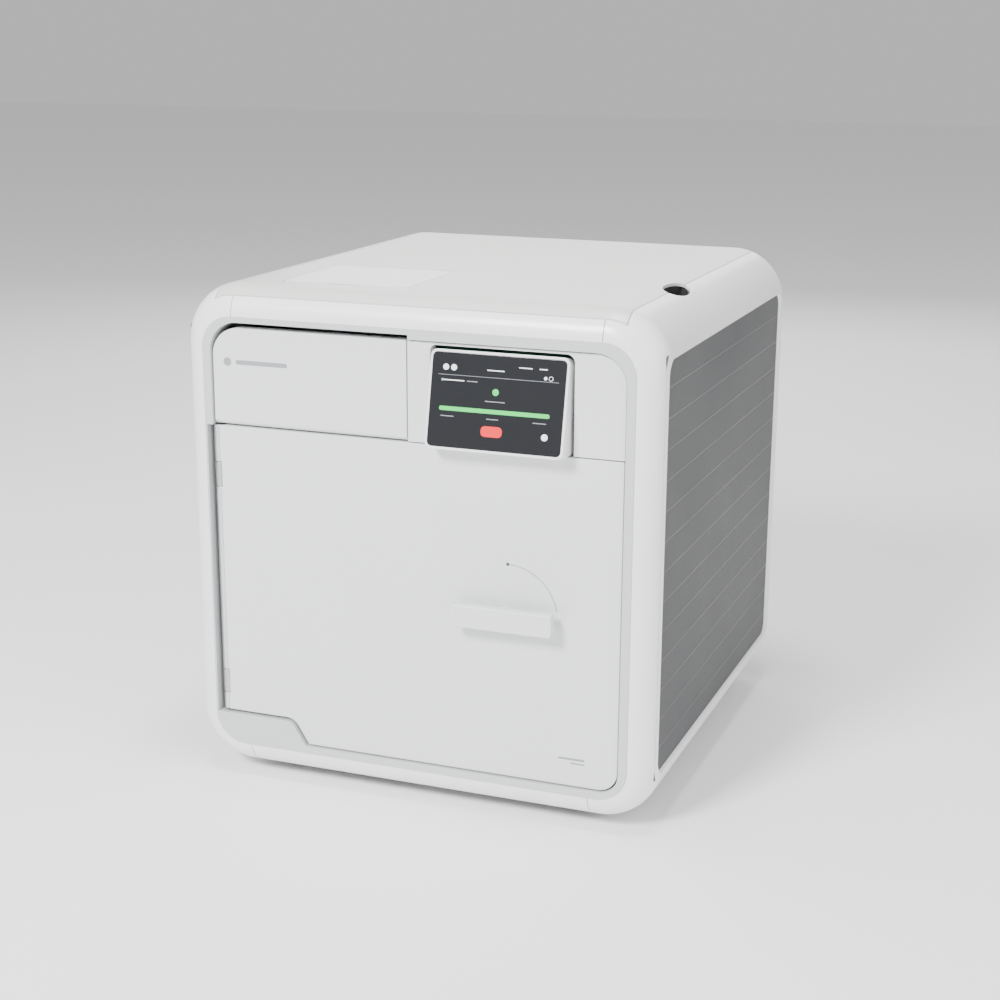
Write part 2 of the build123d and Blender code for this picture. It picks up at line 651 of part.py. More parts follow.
TRAY_HALF = 91.0
TRAY_DEPTHS = (70.0, 372.0)
TRAY_RIM = 14.0
with BuildPart() as trays:
    for shelf in SHELF_HEIGHTS:
        block((-TRAY_HALF, TRAY_HALF), TRAY_DEPTHS, (shelf, shelf + TRAY_RIM))
        block(
            (-TRAY_HALF + 1, TRAY_HALF - 1),
            (TRAY_DEPTHS[0] + 1, TRAY_DEPTHS[1] - 1),
            (shelf + 1, shelf + TRAY_RIM + 1),
            Mode.SUBTRACT,
        )
        with Locations(at(0, sum(TRAY_DEPTHS) / 2, shelf + 0.5)):
            with GridLocations(24, 24, 6, 11):
                Box(14, 5, 2, mode=Mode.SUBTRACT)
finish(trays, "trays")

# ---- door ----
DOOR_TOP = SPLIT_HEIGHT - GAP / 2
DOOR_RIGHT = TUNNEL_HALF - GAP - 0.3
DOOR_LOW = TUNNEL_LOW + GAP
DOOR_LEFT = HINGE_X
DOOR_BACK = 34.0
STEP_GAP = 2.6


def door_outline():
    """The door's outline, stepped over the corner of the bezel."""
    return FilletPolyline(
        (DOOR_LEFT, DOOR_TOP),
        (DOOR_RIGHT, DOOR_TOP),
        (DOOR_RIGHT, DOOR_LOW),
        (STEP_FOOT[0] + 2, DOOR_LOW),
        (STEP_CORNER[0] + 1.4, STEP_TOP + STEP_GAP),
        (DOOR_LEFT, STEP_TOP + STEP_GAP),
        radius=(0, 1.5, 19, 3, 14, 0),
        close=True,
    )


BARREL_SPAN = (STEP_TOP + STEP_GAP + 0.4, DOOR_TOP)
with BuildPart() as door_panel:
    with BuildSketch(facing(PANEL_DEPTH)) as door_face:
        with BuildLine():
            door_outline()
        make_face()
    extrude(amount=-(DOOR_BACK - PANEL_DEPTH))
    fillet(door_panel.faces().sort_by(Axis.Y)[0].edges().sort_by(Axis.X)[1:], 0.8)
    with BuildSketch(facing(PANEL_DEPTH + SKIN)):
        offset(door_face.sketch_local, amount=-SKIN)
        with Locations((DOOR_LEFT, 204)):
            Rectangle(60, DOOR_TOP - STEP_TOP - STEP_GAP - 2 * SKIN)
    extrude(amount=-DOOR_BACK, mode=Mode.SUBTRACT)
    # the hinge barrel forms the left edge
    rod_along_z(HINGE_X, HINGE_DEPTH, (40, 360), BARREL_R + 0.3, Mode.SUBTRACT)
    for knuckle in KNUCKLES:
        pocket = (knuckle[0] - 0.8, knuckle[1] + 0.8)
        rod_along_z(HINGE_X, HINGE_DEPTH, pocket, BARREL_R + 1.0, Mode.SUBTRACT)
    block((-230, HINGE_X), (HINGE_DEPTH, 60), (40, 360), Mode.SUBTRACT)
    rod_along_y(HANDLE_X, (0, 8), HANDLE_HEIGHT, 9, Mode.SUBTRACT)
    for bolt_side in (-1, 1):
        bolt_height = HANDLE_HEIGHT + bolt_side * BOLT_SPREAD
        rod_along_x((195, 210), BOLT_DEPTH, bolt_height, BOLT_R + 1, Mode.SUBTRACT)
finish(door_panel, "door_panel")

LEAF_X = (HINGE_X, -188.0)
LEAF_DEPTHS = (12.0, 24.0)
with BuildPart() as hinge_barrel:
    rod_along_z(HINGE_X, HINGE_DEPTH, BARREL_SPAN, BARREL_R)
    block(LEAF_X, LEAF_DEPTHS, (BARREL_SPAN[0] + 4, BARREL_SPAN[1] - 4))
    for knuckle in KNUCKLES:
        rod_along_z(HINGE_X, HINGE_DEPTH, (knuckle[0] - 0.5, knuckle[1] + 0.5), BARREL_R + 1.0, Mode.SUBTRACT)
    rod_along_z(HINGE_X, HINGE_DEPTH, (50, 360), PIN_R + RUNNING, Mode.SUBTRACT)
finish(hinge_barrel, "hinge_barrel")

with BuildPart() as hinge_pins:
    rod_along_z(HINGE_X, HINGE_DEPTH, (BARREL_SPAN[0], DOOR_TOP - 0.4), PIN_R)
    rod_along_x((LID_LEFT - 11, LID_RIGHT + 11), LID_HINGE_DEPTH, LID_HINGE_HEIGHT, LID_PIN_R)
finish(hinge_pins, "hinge_pins")

with BuildPart() as hinge_brackets:
    for knuckle in KNUCKLES:
        rod_along_z(HINGE_X, HINGE_DEPTH, knuckle, BARREL_R)
        block((HINGE_X - BARREL_R, HINGE_X - 1.5), (HINGE_DEPTH, BULKHEAD_DEPTH), knuckle)
        block((HINGE_X - BARREL_R, -176), (BULKHEAD_DEPTH - 3, BULKHEAD_DEPTH), knuckle)
        rod_along_z(HINGE_X, HINGE_DEPTH, knuckle, PIN_R, Mode.SUBTRACT)
finish(hinge_brackets, "hinge_brackets")

CHASSIS_DEPTHS = (24.0, 27.0)
GUIDE_X = (168.0, 184.0)
with BuildPart() as door_chassis:
    block((-200, 198), CHASSIS_DEPTHS, (64, 343))
    fillet(door_chassis.edges().filter_by(Axis.Y), 6)
    for bolt_side in (-1, 1):
        guide_height = HANDLE_HEIGHT + bolt_side * BOLT_SPREAD
        block(GUIDE_X, (12, CHASSIS_DEPTHS[0]), (guide_height - 8, guide_height + 8))
        rod_along_x(GUIDE_X, BOLT_DEPTH, guide_height, BOLT_R + RUNNING, Mode.SUBTRACT)
    rod_along_y(HANDLE_X, (20, 30), HANDLE_HEIGHT, SHAFT_R + RUNNING, Mode.SUBTRACT)
    # stiffening windows
    for window_x in (-140, -20):
        block((window_x - 35, window_x + 35), (20, 30), (265, 325), Mode.SUBTRACT)
        block((window_x - 35, window_x + 35), (20, 30), (80, 140), Mode.SUBTRACT)
finish(door_chassis, "door_chassis")

with BuildPart() as door_back_cover:
    with BuildSketch(facing(DOOR_BACK - SKIN)):
        offset(door_face.sketch_local, amount=-(SKIN + 0.3))
        with Locations((0, CHAMBER_HEIGHT)):
            Circle(18, mode=Mode.SUBTRACT)
    extrude(amount=-SKIN)
    block((-230, HINGE_X + 2), (20, 60), (40, 360), Mode.SUBTRACT)
finish(door_back_cover, "door_back_cover")

PLATE_R = 146.0
PLATE_DEPTHS = (38.0, 46.0)
GASKET_R = (127.0, 139.0)
with BuildPart() as pressure_plate:
    rod_along_y(0, PLATE_DEPTHS, CHAMBER_HEIGHT, PLATE_R)
    fillet(pressure_plate.edges().sort_by(Axis.Y)[0], 3)
    rod_along_y(0, (PLATE_DEPTHS[1], PLATE_DEPTHS[1] + 5), CHAMBER_HEIGHT, 116)
    fillet(pressure_plate.edges().sort_by(Axis.Y)[-1], 3)
finish(pressure_plate, "pressure_plate")

with BuildPart() as door_gasket:
    rod_along_y(0, (PLATE_DEPTHS[1], FLANGE_DEPTH - 0.3), CHAMBER_HEIGHT, GASKET_R[1])
    rod_along_y(0, (PLATE_DEPTHS[1], FLANGE_DEPTH), CHAMBER_HEIGHT, GASKET_R[0], Mode.SUBTRACT)
    fillet(door_gasket.edges().sort_by(Axis.Y)[-2:], 2.4)
finish(door_gasket, "door_gasket")

with BuildPart() as plate_pivot:
    rod_along_y(0, (CHASSIS_DEPTHS[1], PLATE_DEPTHS[0]), CHAMBER_HEIGHT, 9)
    rod_along_y(0, (CHASSIS_DEPTHS[1], CHASSIS_DEPTHS[1] + 3.6), CHAMBER_HEIGHT, 22)
finish(plate_pivot, "plate_pivot")

with BuildPart() as shaft_bush:
    rod_along_y(HANDLE_X, (PANEL_DEPTH, 9), HANDLE_HEIGHT, 9)
    rod_along_y(HANDLE_X, (6, 9), HANDLE_HEIGHT, 12)
    rod_along_y(HANDLE_X, (0, 12), HANDLE_HEIGHT, SHAFT_R + RUNNING, Mode.SUBTRACT)
finish(shaft_bush, "shaft_bush")

# ---- handle, scroll plate and lock bolts ----
HANDLE_THICK = 9.0
with BuildPart() as handle_bar:
    with BuildSketch(facing(HANDLE_FRONT)):
        with Locations((HANDLE_X, HANDLE_HEIGHT)):
            RectangleRounded(HANDLE_LENGTH, HANDLE_DROP, 3.5)
    extrude(amount=-HANDLE_THICK)
    fillet(handle_bar.faces().sort_by(Axis.Y)[0].edges(), 1.2)
    rod_along_y(HANDLE_X, (HANDLE_FRONT + HANDLE_THICK, PANEL_DEPTH - 0.6), HANDLE_HEIGHT, 10)
    shaft_socket = (HANDLE_FRONT + HANDLE_THICK, PANEL_DEPTH)
    rod_along_y(HANDLE_X, shaft_socket, HANDLE_HEIGHT, SHAFT_R, Mode.SUBTRACT)
finish(handle_bar, "handle_bar")

SCROLL_R = 46.0
SCROLL_DEPTHS = (9.8, 13.8)
with BuildPart() as handle_shaft:
    rod_along_y(HANDLE_X, (HANDLE_FRONT + HANDLE_THICK, 29), HANDLE_HEIGHT, SHAFT_R)
    rod_along_y(HANDLE_X, (CHASSIS_DEPTHS[1] + 0.4, 29), HANDLE_HEIGHT, SHAFT_R + 3)
finish(handle_shaft, "handle_shaft")

FOLLOWER_R = 3.0
SLOT_HALF = FOLLOWER_R + 0.45
QUARTER = 90.0


def scroll_point(turned, shift):
    """A point of the spiral slot's edge, after the plate has turned by an angle in degrees."""
    reach = CAM_START_R + BOLT_TRAVEL * turned / QUARTER + shift
    return (reach * cos(radians(turned)), -reach * sin(radians(turned)))


SCROLL_STEPS = [QUARTER * step / 8 for step in range(9)]
with BuildPart() as scroll_plate:
    with BuildSketch(facing(SCROLL_DEPTHS[0])) as scroll_face:
        with Locations((HANDLE_X, HANDLE_HEIGHT)):
            Circle(SCROLL_R)
            Circle(SHAFT_R, mode=Mode.SUBTRACT)
    extrude(amount=-(SCROLL_DEPTHS[1] - SCROLL_DEPTHS[0]))
    scroll_origin = Plane(origin=at(HANDLE_X, SCROLL_DEPTHS[0] - 1, HANDLE_HEIGHT), x_dir=(1, 0, 0), z_dir=(0, -1, 0))
    with BuildSketch(scroll_origin):
        with BuildLine():
            Spline(*[scroll_point(turned, SLOT_HALF) for turned in SCROLL_STEPS])
            Spline(*[scroll_point(turned, -SLOT_HALF) for turned in SCROLL_STEPS])
            Line(scroll_point(0, SLOT_HALF), scroll_point(0, -SLOT_HALF))
            Line(scroll_point(QUARTER, SLOT_HALF), scroll_point(QUARTER, -SLOT_HALF))
        make_face()
        with Locations(scroll_point(0, 0), scroll_point(QUARTER, 0)):
            Circle(SLOT_HALF)
    extrude(amount=-8, mode=Mode.SUBTRACT)
finish(scroll_plate, "scroll_plate")

FOLLOWER_X = HANDLE_X + CAM_START_R
CARRIAGE_DEPTHS = (14.6, 18.0)
BOLT_TIP = 203.0
with BuildPart() as lock_bolts:
    rod_along_y(FOLLOWER_X, (10.2, CARRIAGE_DEPTHS[1]), HANDLE_HEIGHT, FOLLOWER_R)
    block((FOLLOWER_X - 5, 152), CARRIAGE_DEPTHS, (HANDLE_HEIGHT - 8, HANDLE_HEIGHT + 8))
    block((138, 152), CARRIAGE_DEPTHS, (HANDLE_HEIGHT - 50, HANDLE_HEIGHT + 50))
    for bolt_side in (-1, 1):
        rod_along_x((138, BOLT_TIP), BOLT_DEPTH, HANDLE_HEIGHT + bolt_side * BOLT_SPREAD, BOLT_R)
finish(lock_bolts, "lock_bolts")

KEEPER_X = (209.5, 221.0)
with BuildPart() as lock_keeper:
    keeper_span = (HANDLE_HEIGHT - BOLT_SPREAD - 14, HANDLE_HEIGHT + BOLT_SPREAD + 14)
    block(KEEPER_X, (9, 30), keeper_span)
    block((KEEPER_X[0], KEEPER_X[0] + 5), (30, BULKHEAD_DEPTH), keeper_span)
    block((KEEPER_X[0], 226), (BULKHEAD_DEPTH - 4, BULKHEAD_DEPTH), keeper_span)
    for bolt_side in (-1, 1):
        bolt_height = HANDLE_HEIGHT + bolt_side * BOLT_SPREAD
        rod_along_x((205, 230), BOLT_DEPTH, bolt_height, BOLT_R + 1, Mode.SUBTRACT)
finish(lock_keeper, "lock_keeper")

# ---- water tanks and the lid over the filling mouth ----
TANK_X = (-196.0, -12.0)
TANK_TOP = 474.0
BASIN_LOW = 453.0
MOUTH_X = (LID_LEFT + 6, LID_RIGHT - 6)
MOUTH_DEPTHS = (52.0, 158.0)
with BuildPart() as clean_water_tank:
    block(TANK_X, (66, 290), (358, TANK_TOP))
    block(TANK_X, (44, 66), (BASIN_LOW, TANK_TOP))
    fillet(clean_water_tank.edges().filter_by(Axis.Z), 5)
    block((TANK_X[0] + 3, TANK_X[1] - 3), (69, 287), (361, TANK_TOP - 3), Mode.SUBTRACT)
    block((TANK_X[0] + 3, TANK_X[1] - 3), (47, 70), (BASIN_LOW + 3, TANK_TOP - 3), Mode.SUBTRACT)
    block(MOUTH_X, MOUTH_DEPTHS, (BASIN_LOW + 3, TANK_TOP + 1), Mode.SUBTRACT)
    # a collar round the mouth keeps drips inside
    block((MOUTH_X[0] - 2, MOUTH_X[1] + 2), (50, 160), (TANK_TOP - 3, 480))
    block(MOUTH_X, MOUTH_DEPTHS, (BASIN_LOW + 3, 482), Mode.SUBTRACT)
finish(clean_water_tank, "clean_water_tank")

with BuildPart() as used_water_tank:
    block(TANK_X, (296, 436), (358, TANK_TOP))
    fillet(used_water_tank.edges().filter_by(Axis.Z), 5)
    block((TANK_X[0] + 3, TANK_X[1] - 3), (299, 433), (361, TANK_TOP - 3), Mode.SUBTRACT)
finish(used_water_tank, "used_water_tank")

with BuildPart() as reservoir_lid:
    with BuildSketch(level(HEIGHT - SHELL)):
        with BuildLine():
            FilletPolyline(
                (LID_LEFT, LID_HINGE_DEPTH),
                (LID_LEFT, LID_FRONT),
                (LID_RIGHT, LID_FRONT),
                (LID_RIGHT, LID_HINGE_DEPTH),
                radius=(0, 5, 5, 0),
                close=True,
            )
        make_face()
    extrude(amount=SHELL)
    rod_along_x((LID_LEFT, LID_RIGHT), LID_HINGE_DEPTH, LID_HINGE_HEIGHT, LID_BARREL_R)
    pin_hole = (LID_LEFT - 1, LID_RIGHT + 1)
    rod_along_x(pin_hole, LID_HINGE_DEPTH, LID_HINGE_HEIGHT, LID_PIN_R + RUNNING, Mode.SUBTRACT)
    with BuildSketch(level(HEIGHT - SHELL)):
        with Locations((SLOT_X, LID_FRONT)):
            SlotOverall(SLOT_LENGTH, 5)
    extrude(amount=SHELL, mode=Mode.SUBTRACT)
finish(reservoir_lid, "reservoir_lid")

# ---- cooling ----
FAN_DEPTHS = (436.0, 462.0)
FAN_R = 53.0
with BuildPart() as fan_shroud:
    block((FAN_X - 60, FAN_X + 60), FAN_DEPTHS, (FAN_HEIGHT - 60, FAN_HEIGHT + 60))
    fillet(fan_shroud.edges().filter_by(Axis.Y), 5)
    rod_along_y(FAN_X, (430, 470), FAN_HEIGHT, FAN_R + 3, Mode.SUBTRACT)
    rod_along_y(FAN_X, (FAN_DEPTHS[0], FAN_DEPTHS[0] + 4), FAN_HEIGHT, 20)
    for strut_angle in range(4):
        with Locations(Location(at(FAN_X, FAN_DEPTHS[0] + 2, FAN_HEIGHT), (0, 90 * strut_angle + 45, 0))):
            Box(2 * FAN_R + 8, 4, 5)
    rod_along_y(FAN_X, (FAN_DEPTHS[0] + 4, FAN_DEPTHS[0] + 16), FAN_HEIGHT, 3)
finish(fan_shroud, "fan_shroud")

BLADES = 7
with BuildPart() as fan_rotor:
    rod_along_y(FAN_X, (FAN_DEPTHS[0] + 5, FAN_DEPTHS[1] - 2), FAN_HEIGHT, 20)
    for blade in range(BLADES):
        turn = 360 * blade / BLADES
        hub_point = at(FAN_X, (FAN_DEPTHS[0] + FAN_DEPTHS[1]) / 2 + 1.5, FAN_HEIGHT)
        blade_place = Location(hub_point, (0, turn, 0)) * Location((34.5, 0, 0), (32, 0, 0))
        with Locations(blade_place):
            Box(33, 2, 24)
    rod_along_y(FAN_X, (FAN_DEPTHS[0] + 2, FAN_DEPTHS[0] + 17), FAN_HEIGHT, 3 + RUNNING, Mode.SUBTRACT)
finish(fan_rotor, "fan_rotor")

CONDENSER_X = (40.0, 196.0)
CONDENSER_DEPTHS = (330.0, 428.0)
with BuildPart() as condenser:
    for fin in range(24):
        fin_depth = CONDENSER_DEPTHS[0] + 4 * fin
        block((CONDENSER_X[0] + 8, CONDENSER_X[1] - 8), (fin_depth, fin_depth + 0.8), (372, 436))
    for tube_x in (64, 96, 128, 160):
        for tube_height in (388, 420):
            rod_along_y(tube_x, CONDENSER_DEPTHS, tube_height, 4.5)
    block(CONDENSER_X, (CONDENSER_DEPTHS[0] - 4, CONDENSER_DEPTHS[0]), (368, 440))
finish(condenser, "condenser")

# ---- plant under and beside the vessel ----
with BuildPart() as steam_generator:
    rod_along_z(192, 330, (52, 230), 34)
    rod_along_z(192, 330, (230, 240), 26)
    rod_along_z(192, 330, (240, 252), 9)
    block((168, 216), (306, 354), (38, 52))
    fillet(steam_generator.edges().filter_by(GeomType.CIRCLE).group_by(Axis.Z)[3], 3)
finish(steam_generator, "steam_generator")

with BuildPart() as vacuum_pump:
    rod_along_y(-194, (132, 232), 80, 30)
    block((-222, -166), (82, 132), (52, 112))
    rod_along_z(-208, 107, (112, 122), 6)
    rod_along_z(-180, 107, (112, 122), 6)
    block((-218, -170), (140, 224), (38, 56))
finish(vacuum_pump, "vacuum_pump")

with BuildPart() as water_pump:
    rod_along_y(-194, (290, 350), 66, 22)
    rod_along_y(-194, (350, 372), 66, 16)
    block((-214, -174), (296, 344), (38, 48))
finish(water_pump, "water_pump")

with BuildPart() as valve_manifold:
    block((168, 206), (110, 270), (50, 74))
    for valve in range(4):
        valve_depth = 130 + 40 * valve
        block((174, 200), (valve_depth - 13, valve_depth + 13), (74, 104))
        rod_along_z(187, valve_depth, (104, 112), 6)
    block((176, 198), (120, 132), (38, 50))
    block((176, 198), (248, 260), (38, 50))
finish(valve_manifold, "valve_manifold")

with BuildPart() as safety_valve:
    rod_along_z(90, 400, (352, 362), 9)
    rod_along_z(90, 400, (340, 352), 5)
    rod_along_z(90, 400, (362, 366), 6)
finish(safety_valve, "safety_valve")

with BuildPart() as power_supply:
    block((-224, -170), (330, 440), (232, 340))
    for slot in range(6):
        slot_depth = 345 + 15 * slot
        block((-230, -222), (slot_depth, slot_depth + 6), (250, 320), Mode.SUBTRACT)
finish(power_supply, "power_supply")

BOARD_DEPTHS = (34.0, 35.6)
with BuildPart() as control_boards:
    with BuildSketch(SCREEN_PLANE.offset(-GLASS_THICK - 1)):
        with Locations((0, HOUSING_LENGTH / 2)):
            Rectangle(GLASS_WIDTH - 12, GLASS_LENGTH - 12)
    extrude(amount=-3)
    block((10, 188), BOARD_DEPTHS, (360, 436))
    for chip_x, chip_height, chip_w, chip_h, chip_t in (
        (40, 400, 20, 20, 3),
        (80, 380, 30, 14, 10),
        (120, 415, 16, 16, 12),
        (150, 390, 26, 26, 8),
        (176, 425, 14, 12, 9),
    ):
        chip_x_span = (chip_x - chip_w / 2, chip_x + chip_w / 2)
        chip_h_span = (chip_height - chip_h / 2, chip_height + chip_h / 2)
        block(chip_x_span, (BOARD_DEPTHS[1], BOARD_DEPTHS[1] + chip_t), chip_h_span)
    for post_x in (16, 182):
        for post_height in (366, 430):
            rod_along_y(post_x, (BOARD_DEPTHS[1], BULKHEAD_DEPTH), post_height, 3)
finish(control_boards, "control_boards")


def pipe(points, bend, radius):
    """A bent tube along straight runs joined by arcs."""
    with BuildPart() as tube:
        with BuildLine() as route:
            FilletPolyline(*[at(*point) for point in points], radius=bend)
        with BuildSketch(Plane(origin=route.line @ 0, z_dir=route.line % 0)):
            Circle(radius)
        sweep()
    return tube.part


PIPE_R = 4.0
with BuildPart() as pipework:
    add(pipe([(192, 330, 252), (192, 330, 300), (150, 330, 352), (150, 330, 367.5)], 14, PIPE_R))
    add(pipe([(187, 210, 112.2), (187, 210, 150), (215, 210, 180), (215, 300, 180)], 16, PIPE_R))
    add(pipe([(-180, 107, 122), (-180, 107, 190), (-180, 200, 260), (-180, 200, 357.5)], 24, PIPE_R))
    add(pipe([(-208, 107, 122), (-208, 107, 300), (-190, 320, 340), (-190, 320, 357.5)], 20, PIPE_R))
finish(pipework, "pipework")

# ---- rear services ----
with BuildPart() as mains_inlet:
    inlet_span = (INLET_HEIGHT - 11.6, INLET_HEIGHT + 33.6)
    block((INLET_X - 13.6, INLET_X + 13.6), (440, SPACER_FOOT), inlet_span)
    block((INLET_X - 17, INLET_X + 17), (SPACER_FOOT, SPACER_FOOT + 2), (INLET_HEIGHT - 15, INLET_HEIGHT + 37))
    # socket with three blades, and the seat of the rocker above it
    block((INLET_X - 12, INLET_X + 12), (450, 470), (INLET_HEIGHT - 9, INLET_HEIGHT + 8), Mode.SUBTRACT)
    for blade_x, blade_height in ((-7, -3), (0, 3), (7, -3)):
        blade_span = (INLET_X + blade_x - 1, INLET_X + blade_x + 1)
        height_span = (INLET_HEIGHT + blade_height - 2.5, INLET_HEIGHT + blade_height + 2.5)
        block(blade_span, (450, 462), height_span)
    block((INLET_X - 11, INLET_X + 11), (455, 470), (INLET_HEIGHT + 13, INLET_HEIGHT + 33), Mode.SUBTRACT)
    fillet(mains_inlet.edges().filter_by(Axis.Y).group_by(Axis.X)[0], 2)
    fillet(mains_inlet.edges().filter_by(Axis.Y).group_by(Axis.X)[-1], 2)
finish(mains_inlet, "mains_inlet")

ROCKER_HEIGHT = INLET_HEIGHT + 23
ROCKER_DEPTH = 463.0
with BuildPart() as power_switch:
    rocker_plane = Plane(origin=at(INLET_X - 9.5, ROCKER_DEPTH, ROCKER_HEIGHT), x_dir=(0, 1, 0), z_dir=(1, 0, 0))
    with BuildSketch(rocker_plane):
        with BuildLine():
            Polyline((-3, -3), (-3, 3), (3.2, 8.2), (4.4, 0.8), (5.6, -8.2), (-3, -3))
        make_face()
    extrude(amount=19)
finish(power_switch, "power_switch")

SPIGOT_R = 5.0
SPIGOT_TIP = 486.0
with BuildPart() as drain_spigots:
    for spigot_x in SPIGOT_X:
        rod_along_y(spigot_x, (452, SPIGOT_TIP - 16), SPIGOT_HEIGHT, 8)
        rod_along_y(spigot_x, (SPIGOT_TIP - 16, SPIGOT_TIP), SPIGOT_HEIGHT, SPIGOT_R)
        rod_along_y(spigot_x, (452, SPIGOT_TIP + 1), SPIGOT_HEIGHT, 3, Mode.SUBTRACT)
finish(drain_spigots, "drain_spigots")
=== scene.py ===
import json
from collections import namedtuple
from math import cos, radians, sin

import bmesh
import bpy
from bpy.props import FloatProperty, FloatVectorProperty, IntProperty, PointerProperty
from mathutils import Matrix, Vector


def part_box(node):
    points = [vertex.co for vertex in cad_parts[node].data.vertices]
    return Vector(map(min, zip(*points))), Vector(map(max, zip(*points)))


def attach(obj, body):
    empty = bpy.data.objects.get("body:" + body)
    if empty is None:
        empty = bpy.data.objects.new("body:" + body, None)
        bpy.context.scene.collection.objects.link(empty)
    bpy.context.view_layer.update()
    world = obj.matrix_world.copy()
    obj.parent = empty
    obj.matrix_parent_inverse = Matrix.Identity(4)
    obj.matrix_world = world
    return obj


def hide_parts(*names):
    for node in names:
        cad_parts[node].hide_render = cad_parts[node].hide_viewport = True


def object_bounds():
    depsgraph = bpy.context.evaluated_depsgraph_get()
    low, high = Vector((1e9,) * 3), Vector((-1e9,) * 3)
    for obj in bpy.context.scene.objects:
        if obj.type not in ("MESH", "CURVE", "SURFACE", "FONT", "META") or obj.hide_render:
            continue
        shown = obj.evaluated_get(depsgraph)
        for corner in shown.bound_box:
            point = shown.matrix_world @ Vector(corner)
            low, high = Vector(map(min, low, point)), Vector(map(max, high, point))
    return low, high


bl_info = {
    "name": "Benchtop Steam Steriliser",
    "version": (1, 0, 0),
    "blender": (4, 5, 0),
    "location": "View3D > Sidebar > Steriliser",
    "description": "Finishes, vent sheets, screen marks and studio of a benchtop steam steriliser",
    "category": "Object",
}

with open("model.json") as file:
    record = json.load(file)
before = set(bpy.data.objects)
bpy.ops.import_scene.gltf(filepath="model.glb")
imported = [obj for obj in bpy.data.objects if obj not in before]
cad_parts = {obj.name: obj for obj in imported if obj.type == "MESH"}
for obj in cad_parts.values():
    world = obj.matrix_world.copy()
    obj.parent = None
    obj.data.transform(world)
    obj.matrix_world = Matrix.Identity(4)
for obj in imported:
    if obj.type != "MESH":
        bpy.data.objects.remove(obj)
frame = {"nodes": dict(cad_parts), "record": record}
CAD_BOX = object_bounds()

MM = 0.001
CASING_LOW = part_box("side_shell_left")[0]
SCREEN_TILT = radians(12)
GLASS_THICKNESS = 1.6 * MM
MARK_THICKNESS = 0.08 * MM
MARK_LIFT = 0.03 * MM
FRONT_TURN = Matrix(((1, 0, 0), (0, 0, -1), (0, 1, 0))).to_4x4()

# ---- looks shared by every finish ----
DUST_COLOUR = (0.62, 0.60, 0.56, 1.0)
COAT_ROUGHNESS = 0.12
RELIEF_DEPTH = 0.2 * MM
DEEP_TONE = 0.93
DEEP_GLOW = 0.86
BEVEL_SAMPLES = 6
WEAR_BOOST = 8.0


def spot(x, depth, height):
    """A point given as x, depth behind the casing's front and height over its base, in metres."""
    return Vector((x, CASING_LOW.y + depth, CASING_LOW.z + height))


def facing(x, depth, height):
    """A flat place on the front: its x goes right, its y goes up and its z comes out."""
    return Matrix.Translation(spot(x, depth, height)) @ FRONT_TURN


# ---- shader groups ----
def new_group(name, inputs, outputs):
    """An empty shader group with number inputs and outputs of the given kinds."""
    group = bpy.data.node_groups.new(name, "ShaderNodeTree")
    for label, default in inputs:
        socket = group.interface.new_socket(label, in_out="INPUT", socket_type="NodeSocketFloat")
        socket.default_value = default
    for label, kind in outputs:
        group.interface.new_socket(label, in_out="OUTPUT", socket_type=kind)
    entry = group.nodes.new("NodeGroupInput")
    leaving = group.nodes.new("NodeGroupOutput")
    return group, entry, leaving


def calculate(nodes, links, operation, first, second):
    """A math node fed by sockets or plain numbers."""
    node = nodes.new("ShaderNodeMath")
    node.operation = operation
    for socket, value in zip(node.inputs, (first, second)):
        if isinstance(value, (int, float)):
            socket.default_value = value
        else:
            links.new(value, socket)
    return node.outputs[0]


def build_grain_group():
    """Fine grain and a slow drift of tone over a surface."""
    group, entry, leaving = new_group(
        "Surface grain",
        (("Scale", 900.0), ("Drift Scale", 6.0), ("Stretch", 1.0)),
        (("Grain", "NodeSocketFloat"), ("Drift", "NodeSocketFloat")),
    )
    nodes, links = group.nodes, group.links
    place = nodes.new("ShaderNodeTexCoord")
    stretch = nodes.new("ShaderNodeCombineXYZ")
    stretch.inputs["Y"].default_value = 1.0
    stretch.inputs["Z"].default_value = 1.0
    links.new(entry.outputs["Stretch"], stretch.inputs["X"])
    mapping = nodes.new("ShaderNodeMapping")
    links.new(place.outputs["Object"], mapping.inputs["Vector"])
    links.new(stretch.outputs["Vector"], mapping.inputs["Scale"])
    for label, scale, detail in (("Grain", "Scale", 3.0), ("Drift", "Drift Scale", 2.0)):
        noise = nodes.new("ShaderNodeTexNoise")
        noise.inputs["Detail"].default_value = detail
        links.new(mapping.outputs["Vector"], noise.inputs["Vector"])
        links.new(entry.outputs[scale], noise.inputs["Scale"])
        links.new(noise.outputs["Fac"], leaving.inputs[label])
    return group


